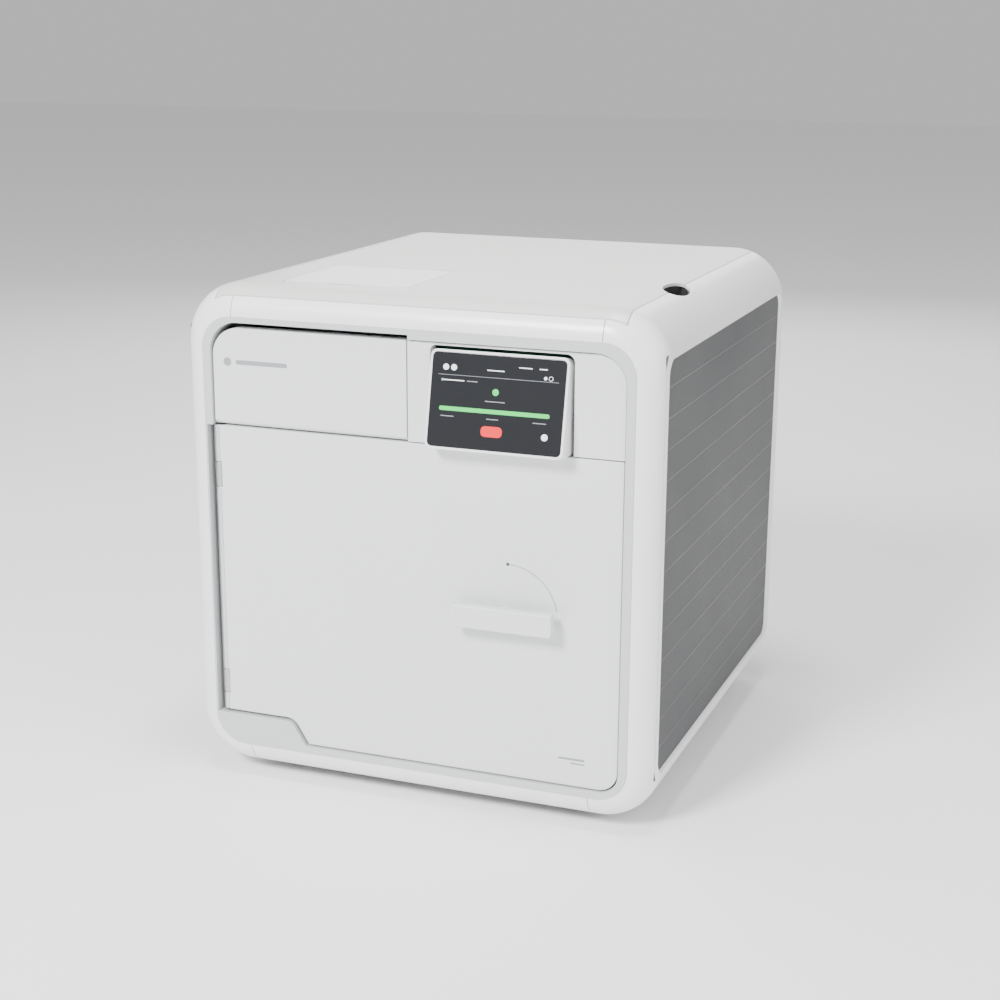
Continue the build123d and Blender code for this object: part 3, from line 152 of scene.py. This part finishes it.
def build_edge_group():
    """Softly rounded edges and a broken mask where edges are rubbed."""
    group, entry, leaving = new_group(
        "Edge wear",
        (("Radius", 0.0008), ("Amount", 0.5), ("Break Scale", 60.0)),
        (("Mask", "NodeSocketFloat"), ("Normal", "NodeSocketVector")),
    )
    nodes, links = group.nodes, group.links
    rounded = nodes.new("ShaderNodeBevel")
    rounded.samples = BEVEL_SAMPLES
    links.new(entry.outputs["Radius"], rounded.inputs["Radius"])
    surface = nodes.new("ShaderNodeNewGeometry")
    compare = nodes.new("ShaderNodeVectorMath")
    compare.operation = "DOT_PRODUCT"
    links.new(rounded.outputs["Normal"], compare.inputs[0])
    links.new(surface.outputs["Normal"], compare.inputs[1])
    edge = calculate(nodes, links, "SUBTRACT", 1.0, compare.outputs["Value"])
    place = nodes.new("ShaderNodeTexCoord")
    breaks = nodes.new("ShaderNodeTexNoise")
    breaks.inputs["Detail"].default_value = 4.0
    links.new(place.outputs["Object"], breaks.inputs["Vector"])
    links.new(entry.outputs["Break Scale"], breaks.inputs["Scale"])
    broken = calculate(nodes, links, "MULTIPLY", edge, breaks.outputs["Fac"])
    boosted = calculate(nodes, links, "MULTIPLY", broken, WEAR_BOOST)
    rubbed = calculate(nodes, links, "MULTIPLY", boosted, entry.outputs["Amount"])
    held = nodes.new("ShaderNodeClamp")
    links.new(rubbed, held.inputs["Value"])
    links.new(held.outputs["Result"], leaving.inputs["Mask"])
    links.new(rounded.outputs["Normal"], leaving.inputs["Normal"])
    return group


def build_dust_group():
    """A thin uneven film of dust on faces that look up."""
    group, entry, leaving = new_group(
        "Dust film",
        (("Amount", 0.1), ("Patch Scale", 14.0)),
        (("Mask", "NodeSocketFloat"),),
    )
    nodes, links = group.nodes, group.links
    surface = nodes.new("ShaderNodeNewGeometry")
    split = nodes.new("ShaderNodeSeparateXYZ")
    links.new(surface.outputs["Normal"], split.inputs["Vector"])
    place = nodes.new("ShaderNodeTexCoord")
    patches = nodes.new("ShaderNodeTexNoise")
    patches.inputs["Detail"].default_value = 5.0
    links.new(place.outputs["Object"], patches.inputs["Vector"])
    links.new(entry.outputs["Patch Scale"], patches.inputs["Scale"])
    upward = calculate(nodes, links, "MAXIMUM", split.outputs["Z"], 0.0)
    patchy = calculate(nodes, links, "MULTIPLY", upward, patches.outputs["Fac"])
    film = calculate(nodes, links, "MULTIPLY", patchy, entry.outputs["Amount"])
    links.new(film, leaving.inputs["Mask"])
    return group


GROUPS = {}


def shader_groups():
    """The shared shader groups, made once."""
    if not GROUPS:
        GROUPS["grain"] = build_grain_group()
        GROUPS["edge"] = build_edge_group()
        GROUPS["dust"] = build_dust_group()
    return GROUPS


# ---- materials ----
Finish = namedtuple(
    "Finish",
    "colour worn roughness spread metallic coat grain stretch bump wear dust",
)

PAINT = Finish(
    colour=(0.9, 0.9, 0.91),
    worn=(0.6, 0.6, 0.6),
    roughness=0.32,
    spread=0.05,
    metallic=0.0,
    coat=0.25,
    grain=1100,
    stretch=1,
    bump=0.1,
    wear=0.1,
    dust=0.06,
)
PLASTIC = Finish(
    colour=(0.035, 0.036, 0.038),
    worn=(0.1, 0.1, 0.1),
    roughness=0.5,
    spread=0.1,
    metallic=0.0,
    coat=0.0,
    grain=700,
    stretch=1,
    bump=0.3,
    wear=0.3,
    dust=0.1,
)
METAL = Finish(
    colour=(0.5, 0.51, 0.52),
    worn=(0.72, 0.72, 0.72),
    roughness=0.36,
    spread=0.1,
    metallic=1.0,
    coat=0.0,
    grain=500,
    stretch=18,
    bump=0.12,
    wear=0.3,
    dust=0.06,
)

FINISHES = {
    "white_shell": PAINT,
    "cover_paint": PAINT._replace(
        colour=(0.66, 0.67, 0.65),
        worn=(0.55, 0.55, 0.55),
        roughness=0.38,
        spread=0.06,
        coat=0.15,
        grain=1300,
        bump=0.14,
        dust=0.1,
    ),
    "bezel_grey": PAINT._replace(
        colour=(0.55, 0.56, 0.57),
        worn=(0.5, 0.5, 0.5),
        roughness=0.36,
        coat=0.15,
        wear=0.12,
        dust=0.05,
    ),
    "panel_white": PAINT._replace(
        colour=(0.74, 0.75, 0.76),
        worn=(0.58, 0.58, 0.58),
        roughness=0.34,
        coat=0.2,
        dust=0.05,
    ),
    "mesh_grey": PAINT._replace(
        colour=(0.1, 0.102, 0.105),
        worn=(0.2, 0.2, 0.2),
        roughness=0.45,
        spread=0.08,
        coat=0.0,
        grain=900,
        bump=0.15,
        wear=0.05,
        dust=0.04,
    ),
    "dark_plastic": PLASTIC,
    "screen_glass": PLASTIC._replace(
        colour=(0.01, 0.011, 0.014),
        worn=(0.02, 0.02, 0.02),
        roughness=0.06,
        spread=0.02,
        coat=0.6,
        grain=200,
        bump=0.0,
        wear=0.0,
        dust=0.02,
    ),
    "board_green": PLASTIC._replace(
        colour=(0.02, 0.16, 0.07),
        worn=(0.35, 0.28, 0.1),
        roughness=0.42,
        spread=0.08,
        coat=0.2,
        grain=400,
        wear=0.2,
    ),
    "steel": METAL,
    "bright_steel": METAL._replace(
        colour=(0.64, 0.65, 0.66),
        worn=(0.82, 0.82, 0.82),
        roughness=0.22,
        spread=0.08,
        grain=700,
        stretch=22,
        bump=0.08,
        wear=0.25,
        dust=0.03,
    ),
    "zinc_steel": METAL._replace(
        colour=(0.52, 0.53, 0.51),
        worn=(0.7, 0.7, 0.68),
        roughness=0.4,
        spread=0.12,
        grain=260,
        stretch=1,
        dust=0.08,
    ),
    "aluminium": METAL._replace(
        colour=(0.68, 0.69, 0.7),
        worn=(0.85, 0.85, 0.85),
        roughness=0.34,
        grain=600,
        stretch=12,
        bump=0.1,
        wear=0.25,
        dust=0.05,
    ),
    "brass": METAL._replace(
        colour=(0.62, 0.43, 0.16),
        worn=(0.8, 0.62, 0.3),
        roughness=0.3,
        stretch=1,
        bump=0.1,
        dust=0.04,
    ),
    "rubber_black": PLASTIC._replace(
        colour=(0.022, 0.022, 0.023),
        worn=(0.07, 0.07, 0.07),
        roughness=0.68,
        grain=500,
        bump=0.35,
        dust=0.15,
    ),
    "silicone_seal": PLASTIC._replace(
        colour=(0.55, 0.53, 0.5),
        worn=(0.66, 0.64, 0.6),
        roughness=0.52,
        spread=0.08,
        grain=500,
        bump=0.2,
        wear=0.15,
        dust=0.08,
    ),
    "insulation": PLASTIC._replace(
        colour=(0.58, 0.56, 0.5),
        worn=(0.66, 0.64, 0.58),
        roughness=0.85,
        spread=0.08,
        grain=240,
        bump=0.8,
        wear=0.2,
        dust=0.2,
    ),
    "tank_plastic": PLASTIC._replace(
        colour=(0.7, 0.72, 0.74),
        worn=(0.8, 0.8, 0.8),
        roughness=0.4,
        spread=0.08,
        grain=600,
        bump=0.15,
        wear=0.15,
    ),
    "lid_white": PAINT._replace(
        colour=(0.78, 0.79, 0.78),
        roughness=0.34,
        coat=0.2,
        dust=0.07,
    ),
    "blue_filter": PLASTIC._replace(
        colour=(0.05, 0.16, 0.42),
        worn=(0.2, 0.32, 0.55),
        roughness=0.46,
        spread=0.08,
        grain=500,
        bump=0.2,
        wear=0.2,
        dust=0.08,
    ),
    "copper_pipe": METAL._replace(
        colour=(0.62, 0.28, 0.16),
        worn=(0.85, 0.5, 0.34),
        roughness=0.32,
        spread=0.14,
        grain=300,
        stretch=8,
        bump=0.1,
        wear=0.35,
        dust=0.05,
    ),
    "mark_grey": PAINT._replace(
        colour=(0.3, 0.31, 0.33),
        worn=(0.4, 0.4, 0.4),
        roughness=0.45,
        coat=0.0,
        grain=900,
        bump=0.05,
        wear=0.0,
        dust=0.02,
    ),
    "mark_dark": PAINT._replace(
        colour=(0.06, 0.06, 0.07),
        worn=(0.15, 0.15, 0.15),
        roughness=0.45,
        coat=0.0,
        grain=900,
        bump=0.05,
        wear=0.0,
        dust=0.02,
    ),
}


def blend_colours(nodes, links, factor, under, over):
    """A colour mix; under and over are sockets or plain colours."""
    mix = nodes.new("ShaderNodeMix")
    mix.data_type = "RGBA"
    links.new(factor, mix.inputs["Factor"])
    for index, value in ((6, under), (7, over)):
        if isinstance(value, tuple):
            mix.inputs[index].default_value = value
        else:
            links.new(value, mix.inputs[index])
    return mix.outputs[2]


def make_finish(name, finish):
    """One painted, metal, plastic or rubber finish."""
    groups = shader_groups()
    material = bpy.data.materials.new(name)
    material.use_nodes = True
    nodes, links = material.node_tree.nodes, material.node_tree.links
    shader = nodes["Principled BSDF"]
    shader.inputs["Metallic"].default_value = finish.metallic
    shader.inputs["Coat Weight"].default_value = finish.coat
    shader.inputs["Coat Roughness"].default_value = COAT_ROUGHNESS

    grain = nodes.new("ShaderNodeGroup")
    grain.node_tree = groups["grain"]
    grain.inputs["Scale"].default_value = finish.grain
    grain.inputs["Stretch"].default_value = finish.stretch
    edge = nodes.new("ShaderNodeGroup")
    edge.node_tree = groups["edge"]
    edge.inputs["Amount"].default_value = finish.wear
    film = nodes.new("ShaderNodeGroup")
    film.node_tree = groups["dust"]
    film.inputs["Amount"].default_value = finish.dust

    deeper = tuple(DEEP_TONE * channel for channel in finish.colour) + (1.0,)
    tone = blend_colours(nodes, links, grain.outputs["Drift"], deeper, finish.colour + (1.0,))
    rubbed = blend_colours(nodes, links, edge.outputs["Mask"], tone, finish.worn + (1.0,))
    dusty = blend_colours(nodes, links, film.outputs["Mask"], rubbed, DUST_COLOUR)
    links.new(dusty, shader.inputs["Base Color"])

    uneven = nodes.new("ShaderNodeMapRange")
    uneven.inputs["From Min"].default_value = 0.3
    uneven.inputs["From Max"].default_value = 0.7
    uneven.inputs["To Min"].default_value = finish.roughness - finish.spread
    uneven.inputs["To Max"].default_value = finish.roughness + finish.spread
    links.new(grain.outputs["Drift"], uneven.inputs["Value"])
    rougher = calculate(nodes, links, "ADD", uneven.outputs["Result"], film.outputs["Mask"])
    links.new(rougher, shader.inputs["Roughness"])

    relief = nodes.new("ShaderNodeBump")
    relief.inputs["Strength"].default_value = finish.bump
    relief.inputs["Distance"].default_value = RELIEF_DEPTH
    links.new(grain.outputs["Grain"], relief.inputs["Height"])
    links.new(edge.outputs["Normal"], relief.inputs["Normal"])
    links.new(relief.outputs["Normal"], shader.inputs["Normal"])
    return material


MADE = {}


def finish_called(name):
    """The named finish, made the first time that it is asked for."""
    if name not in MADE:
        MADE[name] = make_finish(f"{name}_finish", FINISHES[name])
    return MADE[name]


def make_lit_mark(name, colour, glow):
    """A lit mark on the screen, with a faint unevenness in its glow."""
    material = bpy.data.materials.new(name)
    material.use_nodes = True
    nodes, links = material.node_tree.nodes, material.node_tree.links
    shader = nodes["Principled BSDF"]
    shader.inputs["Roughness"].default_value = 0.25
    shader.inputs["Emission Strength"].default_value = glow
    grain = nodes.new("ShaderNodeGroup")
    grain.node_tree = shader_groups()["grain"]
    grain.inputs["Drift Scale"].default_value = 90.0
    deeper = tuple(DEEP_GLOW * channel for channel in colour) + (1.0,)
    tone = blend_colours(nodes, links, grain.outputs["Drift"], deeper, tuple(colour) + (1.0,))
    links.new(tone, shader.inputs["Base Color"])
    links.new(tone, shader.inputs["Emission Color"])
    return material


# ---- shapes ----
def set_down(name, shape, material, body, replaced=()):
    """Make an object of a finished shape and let it ride on a body."""
    mesh = bpy.data.meshes.new(name)
    shape.to_mesh(mesh)
    shape.free()
    mesh.materials.append(material)
    piece = bpy.data.objects.new(name, mesh)
    bpy.context.scene.collection.objects.link(piece)
    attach(piece, body)
    if replaced:
        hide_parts(*replaced)
    return piece


def thicken(piece, thickness, offset):
    """Give a flat piece its thickness."""
    solid = piece.modifiers.new("Thickness", "SOLIDIFY")
    solid.thickness = thickness
    solid.offset = offset


def add_disc(shape, place, radius):
    """A flat disc at a place."""
    bmesh.ops.create_circle(shape, cap_ends=True, segments=32, radius=radius, matrix=place)


def add_ring(shape, place, radius, wall):
    """A flat ring at a place."""
    known = set(shape.faces)
    bmesh.ops.create_circle(shape, cap_ends=True, segments=32, radius=radius, matrix=place)
    disc = [face for face in shape.faces if face not in known]
    bmesh.ops.inset_individual(shape, faces=disc, thickness=wall, use_even_offset=True)
    bmesh.ops.delete(shape, geom=disc, context="FACES_ONLY")


def add_bar(shape, place, width, height, round_ends=0.0):
    """A flat bar at a place, with rounded corners if asked."""
    sized = place @ Matrix.Diagonal((width, height, 1.0, 1.0))
    made = bmesh.ops.create_grid(shape, x_segments=1, y_segments=1, size=0.5, matrix=sized)
    if round_ends:
        bmesh.ops.bevel(
            shape,
            geom=made["verts"],
            offset=round_ends,
            affect="VERTICES",
            segments=5,
            profile=0.5,
            material=-1,
        )


# ---- settings ----
class SteriliserSettings(bpy.types.PropertyGroup):
    """Sizes and colours of the pieces that are dressed onto the steriliser."""

    slot_pitch: FloatProperty(
        name="Vent slot pitch",
        description="Distance between neighbouring vent slots, front to back",
        default=2.2 * MM,
        min=2.0 * MM,
        unit="LENGTH",
    )
    slot_rise: FloatProperty(
        name="Vent slot rise",
        description="Distance between neighbouring vent slots, up and down",
        default=28.0 * MM,
        min=4.0 * MM,
        unit="LENGTH",
    )
    slot_web: FloatProperty(
        name="Vent web",
        description="Half the width of the metal left between two vent slots",
        default=0.5 * MM,
        unit="LENGTH",
    )
    sheet_thickness: FloatProperty(
        name="Vent sheet thickness",
        description="Thickness of the perforated side sheets",
        default=1.0 * MM,
        unit="LENGTH",
    )
    arc_radius: FloatProperty(
        name="Handle arc radius",
        description="Radius of the printed arc around the door handle",
        default=49.3 * MM,
        unit="LENGTH",
    )
    arc_width: FloatProperty(
        name="Handle arc width",
        description="Width of the printed arc around the door handle",
        default=0.8 * MM,
        unit="LENGTH",
    )
    arc_steps: IntProperty(
        name="Handle arc steps",
        description="Number of steps along the printed arc",
        default=48,
        min=8,
    )
    go_colour: FloatVectorProperty(
        name="Ready colour",
        description="Colour of the screen's progress bar and ready mark",
        default=(0.05, 0.62, 0.12),
        size=3,
        subtype="COLOR",
    )
    stop_colour: FloatVectorProperty(
        name="Stop colour",
        description="Colour of the screen's stop button",
        default=(0.75, 0.03, 0.03),
        size=3,
        subtype="COLOR",
    )
    floor_colour: FloatVectorProperty(
        name="Floor colour",
        description="Colour of the studio floor",
        default=(0.93, 0.93, 0.93),
        size=3,
        subtype="COLOR",
    )


# ---- pieces ----
class STERILISER_OT_finish_parts(bpy.types.Operator):
    """Gives every carried-over part its paint, metal, plastic or rubber finish"""

    bl_idname = "steriliser.finish_parts"
    bl_label = "Finish Parts"

    def execute(self, context):
        for part in frame["record"]["subparts"]:
            mesh = frame["nodes"][part["node"]].data
            mesh.materials.clear()
            mesh.materials.append(finish_called(part["material_slot"]))
        return {"FINISHED"}


def cut_vent_sheet(settings, node):
    """A sheet cut with rows of upright slots, in the place of a plain side sheet."""
    low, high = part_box(node)
    side = 1 if low.x > 0 else -1
    outer_x = high.x if side > 0 else low.x
    width, height = high.y - low.y, high.z - low.z
    upright = Matrix(((0, 0, side), (side, 0, 0), (0, 1, 0))).to_4x4()
    middle = Matrix.Translation((outer_x, (low.y + high.y) / 2, (low.z + high.z) / 2))
    shape = bmesh.new()
    bmesh.ops.create_grid(
        shape,
        x_segments=round(width / settings.slot_pitch),
        y_segments=round(height / settings.slot_rise),
        size=0.5,
        matrix=middle @ upright @ Matrix.Diagonal((width, height, 1.0, 1.0)),
    )
    slots = list(shape.faces)
    web = settings.slot_web
    bmesh.ops.inset_individual(shape, faces=slots, thickness=web, use_even_offset=True)
    bmesh.ops.delete(shape, geom=slots, context="FACES_ONLY")
    finish = finish_called("mesh_grey")
    sheet = set_down(f"vent_{node}", shape, finish, "casing", (node,))
    thicken(sheet, settings.sheet_thickness, -1.0)


class STERILISER_OT_vent_sheets(bpy.types.Operator):
    """Cuts the slotted vent sheets behind the two side windows"""

    bl_idname = "steriliser.vent_sheets"
    bl_label = "Cut Vent Sheets"

    def execute(self, context):
        for node in ("side_mesh_left", "side_mesh_right"):
            cut_vent_sheet(context.scene.steriliser, node)
        return {"FINISHED"}


# places on the screen as fractions across and down, with lengths as fractions of its width
TEXT_BAR = (0.007, 0.003)
LABEL_BAR = (0.006, 0.0025)
WHITE_DISCS = (
    (0.105, 0.155, 0.022),
    (0.165, 0.155, 0.022),
    (0.85, 0.20, 0.012),
    (0.875, 0.81, 0.024),
)
WHITE_RING = (0.89, 0.20, 0.016, 0.003)
WHITE_BARS = ((0.48, 0.16, 0.13), (0.70, 0.11, 0.10), (0.83, 0.11, 0.06), (0.17, 0.29, 0.16))
GREY_BARS = (
    (0.31, 0.29, 0.08),
    (0.49, 0.485, 0.15),
    (0.14, 0.67, 0.10),
    (0.48, 0.67, 0.09),
    (0.83, 0.67, 0.10),
)
DIVIDER = (0.5, 0.235, 0.90, 0.003)
ICON_DISC = (0.085, 0.29, 0.010)
READY_DISC = (0.49, 0.385, 0.024)
PROGRESS_BAR = (0.4875, 0.59, 0.825, 0.030, 0.012)
STOP_BUTTON = (0.48, 0.80, 0.16, 0.075, 0.030)


def screen_places():
    """The screen's size, and a function that gives a place on it from fractions across and down."""
    low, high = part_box("display_glass")
    width = high.x - low.x
    length = (high.z - low.z - GLASS_THICKNESS * sin(SCREEN_TILT)) / cos(SCREEN_TILT)
    up = Vector((0, sin(SCREEN_TILT), cos(SCREEN_TILT)))
    out = Vector((0, -cos(SCREEN_TILT), sin(SCREEN_TILT)))
    foot = Vector((low.x, low.y, low.z + GLASS_THICKNESS * sin(SCREEN_TILT)))
    turned = Matrix(((1, 0, 0), up, out)).transposed().to_4x4()

    def place(across, down):
        middle = foot + Vector((across * width, 0, 0)) + up * (1 - down) * length + out * MARK_LIFT
        return Matrix.Translation(middle) @ turned

    return width, place


class STERILISER_OT_screen_marks(bpy.types.Operator):
    """Lays the lit discs, bars and button on the tilted screen"""

    bl_idname = "steriliser.screen_marks"
    bl_label = "Lay Screen Marks"

    def execute(self, context):
        settings = context.scene.steriliser
        width, place = screen_places()

        def disc(shape, across, down, radius):
            add_disc(shape, place(across, down), radius * width)

        def bar(shape, across, down, long, high, corner=0.0):
            add_bar(shape, place(across, down), long * width, high * width, corner * width)

        white = bmesh.new()
        for row in WHITE_DISCS:
            disc(white, *row)
        across, down, radius, wall = WHITE_RING
        add_ring(white, place(across, down), radius * width, wall * width)
        for row in WHITE_BARS:
            bar(white, *row, *TEXT_BAR)
        grey = bmesh.new()
        bar(grey, *DIVIDER)
        for row in GREY_BARS:
            bar(grey, *row, *LABEL_BAR)
        disc(grey, *ICON_DISC)
        green = bmesh.new()
        disc(green, *READY_DISC)
        bar(green, *PROGRESS_BAR)
        red = bmesh.new()
        bar(red, *STOP_BUTTON)
        lit = (
            ("screen_white_marks", white, (0.85, 0.87, 0.90), 0.5),
            ("screen_grey_marks", grey, (0.28, 0.29, 0.31), 0.2),
            ("screen_green_marks", green, tuple(settings.go_colour), 0.5),
            ("screen_red_button", red, tuple(settings.stop_colour), 0.5),
        )
        for name, shape, colour, glow in lit:
            material = make_lit_mark(name + "_light", colour, glow)
            piece = set_down(name, shape, material, "casing")
            thicken(piece, MARK_THICKNESS, 1.0)
        return {"FINISHED"}


ARC_SWEEP = radians(80)
ARC_DOT_R = 1.6 * MM


class STERILISER_OT_door_marks(bpy.types.Operator):
    """Prints the turning arc beside the door handle"""

    bl_idname = "steriliser.door_marks"
    bl_label = "Print Door Marks"

    def execute(self, context):
        settings = context.scene.steriliser
        handle_low, handle_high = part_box("handle_bar")
        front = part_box("door_panel")[0].y - MARK_LIFT
        pivot = (handle_low + handle_high) / 2
        pivot.y = front
        half = Vector((0, 0, settings.arc_width / 2))
        top = pivot + Vector((0, 0, settings.arc_radius))
        shape = bmesh.new()
        ends = [shape.verts.new(top - half), shape.verts.new(top + half)]
        edge = shape.edges.new(ends)
        bmesh.ops.spin(
            shape,
            geom=ends + [edge],
            cent=pivot,
            axis=(0, 1, 0),
            angle=ARC_SWEEP,
            steps=settings.arc_steps,
            use_duplicate=False,
        )
        arc = set_down("handle_arc_mark", shape, finish_called("mark_grey"), "door")
        thicken(arc, MARK_THICKNESS / 2, 0.0)
        dot = bmesh.new()
        add_disc(dot, Matrix.Translation(top) @ FRONT_TURN, ARC_DOT_R)
        dark = finish_called("mark_dark")
        dot_piece = set_down("handle_arc_dot", dot, dark, "door")
        thicken(dot_piece, MARK_THICKNESS, 1.0)
        return {"FINISHED"}


# x, height, width, thickness and corner radius of each plain bar, in millimetres
FLAP_DOT = (-190, 412, 4.0)
FLAP_BAR = (-154, 412, 54, 4.2, 1.6)
DOOR_BARS = ((160, 60, 26, 2.0, 0.8), (166, 56, 14, 1.4, 0.5))


def print_bar(shape, depth, row):
    """A plain bar on the front, from its row in millimetres."""
    x, height, long, high, corner = (value * MM for value in row)
    add_bar(shape, facing(x, depth, height), long, high, corner)


class STERILISER_OT_maker_plates(bpy.types.Operator):
    """Prints a plain dot and bar on the flap and two plain bars low on the door"""

    bl_idname = "steriliser.maker_plates"
    bl_label = "Print Plain Marks"

    def execute(self, context):
        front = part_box("flap_panel")[0].y - CASING_LOW.y - MARK_LIFT
        flap = bmesh.new()
        dot_x, dot_height, dot_radius = (value * MM for value in FLAP_DOT)
        add_disc(flap, facing(dot_x, front, dot_height), dot_radius)
        print_bar(flap, front, FLAP_BAR)
        piece = set_down("flap_plain_mark", flap, finish_called("mark_grey"), "flap")
        thicken(piece, MARK_THICKNESS, 1.0)
        door = bmesh.new()
        door_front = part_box("door_panel")[0].y - CASING_LOW.y - MARK_LIFT
        for row in DOOR_BARS:
            print_bar(door, door_front, row)
        piece = set_down("door_plain_mark", door, finish_called("mark_grey"), "door")
        thicken(piece, MARK_THICKNESS, 1.0)
        return {"FINISHED"}


# ---- studio ----
CAMERA_PLACE = Vector((0.65368, -1.71552, 0.73689))
CAMERA_VIEW = Vector((-0.34294, 0.89864, -0.27357))
CAMERA_ROLL = radians(0.28)
CAMERA_LENS = 64.86
CAMERA_SHIFT_UP = 0.03
SENSOR_WIDTH = 36.0
FLOOR_HALF = 12.0
FLOOR_ROUGHNESS = 0.9
SKY_STRENGTH = 0.6

# name, place, size, power in watts
LIGHTS = (
    ("key_light", (-0.7, -2.6, 2.2), 0.8, 170.0),
    ("fill_light", (2.4, -1.2, 1.0), 1.6, 28.0),
    ("top_light", (0.1, -0.3, 2.8), 0.8, 60.0),
    ("back_light", (-0.6, 2.4, 1.6), 1.8, 30.0),
)


def aim(place, view, roll=0.0):
    """A turned place that looks along a view."""
    view = view.normalized()
    right = view.cross(Vector((0, 0, 1))).normalized()
    up = right.cross(view)
    level_right = right * cos(roll) + up * sin(roll)
    level_up = up * cos(roll) - right * sin(roll)
    turned = Matrix((level_right, level_up, -view)).transposed().to_4x4()
    return Matrix.Translation(place) @ turned


class STERILISER_OT_studio(bpy.types.Operator):
    """Sets up the pale floor, the soft lights and the camera"""

    bl_idname = "steriliser.studio"
    bl_label = "Set Up Studio"

    def execute(self, context):
        scene = context.scene
        shape = bmesh.new()
        bmesh.ops.create_grid(shape, x_segments=1, y_segments=1, size=FLOOR_HALF)
        mesh = bpy.data.meshes.new("studio_floor")
        shape.to_mesh(mesh)
        shape.free()
        floor = bpy.data.objects.new("studio_floor", mesh)
        scene.collection.objects.link(floor)
        paint = bpy.data.materials.new("studio_floor_paint")
        paint.use_nodes = True
        shader = paint.node_tree.nodes["Principled BSDF"]
        shader.inputs["Base Color"].default_value = (*scene.steriliser.floor_colour, 1.0)
        shader.inputs["Roughness"].default_value = FLOOR_ROUGHNESS
        mesh.materials.append(paint)

        sky = bpy.data.worlds.new("studio_sky")
        sky.use_nodes = True
        background = sky.node_tree.nodes["Background"]
        background.inputs["Color"].default_value = (1.0, 1.0, 1.0, 1.0)
        background.inputs["Strength"].default_value = SKY_STRENGTH
        scene.world = sky

        middle = (CAD_BOX[0] + CAD_BOX[1]) / 2
        for name, place, size, power in LIGHTS:
            lamp = bpy.data.lights.new(name, "AREA")
            lamp.size = size
            lamp.energy = power
            lamp_object = bpy.data.objects.new(name, lamp)
            lamp_object.matrix_world = aim(Vector(place), middle - Vector(place))
            scene.collection.objects.link(lamp_object)

        lens = bpy.data.cameras.new("studio_camera")
        lens.lens = CAMERA_LENS
        lens.sensor_width = SENSOR_WIDTH
        lens.shift_y = CAMERA_SHIFT_UP
        camera = bpy.data.objects.new("studio_camera", lens)
        camera.matrix_world = aim(CAMERA_PLACE, CAMERA_VIEW, CAMERA_ROLL)
        scene.collection.objects.link(camera)
        scene.camera = camera
        return {"FINISHED"}


OPERATORS = (
    STERILISER_OT_finish_parts,
    STERILISER_OT_vent_sheets,
    STERILISER_OT_screen_marks,
    STERILISER_OT_door_marks,
    STERILISER_OT_maker_plates,
    STERILISER_OT_studio,
)


class STERILISER_PT_pieces(bpy.types.Panel):
    """Lists the steriliser's pieces in the sidebar"""

    bl_idname = "STERILISER_PT_pieces"
    bl_label = "Steam Steriliser"
    bl_space_type = "VIEW_3D"
    bl_region_type = "UI"
    bl_category = "Steriliser"

    def draw(self, context):
        column = self.layout.column()
        for operator in OPERATORS:
            column.operator(operator.bl_idname)
        for name in SteriliserSettings.__annotations__:
            column.prop(context.scene.steriliser, name)


CLASSES = (SteriliserSettings, *OPERATORS, STERILISER_PT_pieces)


def register():
    for cls in CLASSES:
        bpy.utils.register_class(cls)
    bpy.types.Scene.steriliser = PointerProperty(type=SteriliserSettings)


def unregister():
    del bpy.types.Scene.steriliser
    for cls in reversed(CLASSES):
        bpy.utils.unregister_class(cls)


def main():
    register()
    bpy.ops.steriliser.finish_parts()
    bpy.ops.steriliser.vent_sheets()
    bpy.ops.steriliser.screen_marks()
    bpy.ops.steriliser.door_marks()
    bpy.ops.steriliser.maker_plates()
    bpy.ops.steriliser.studio()


if __name__ == "__main__":
    main()
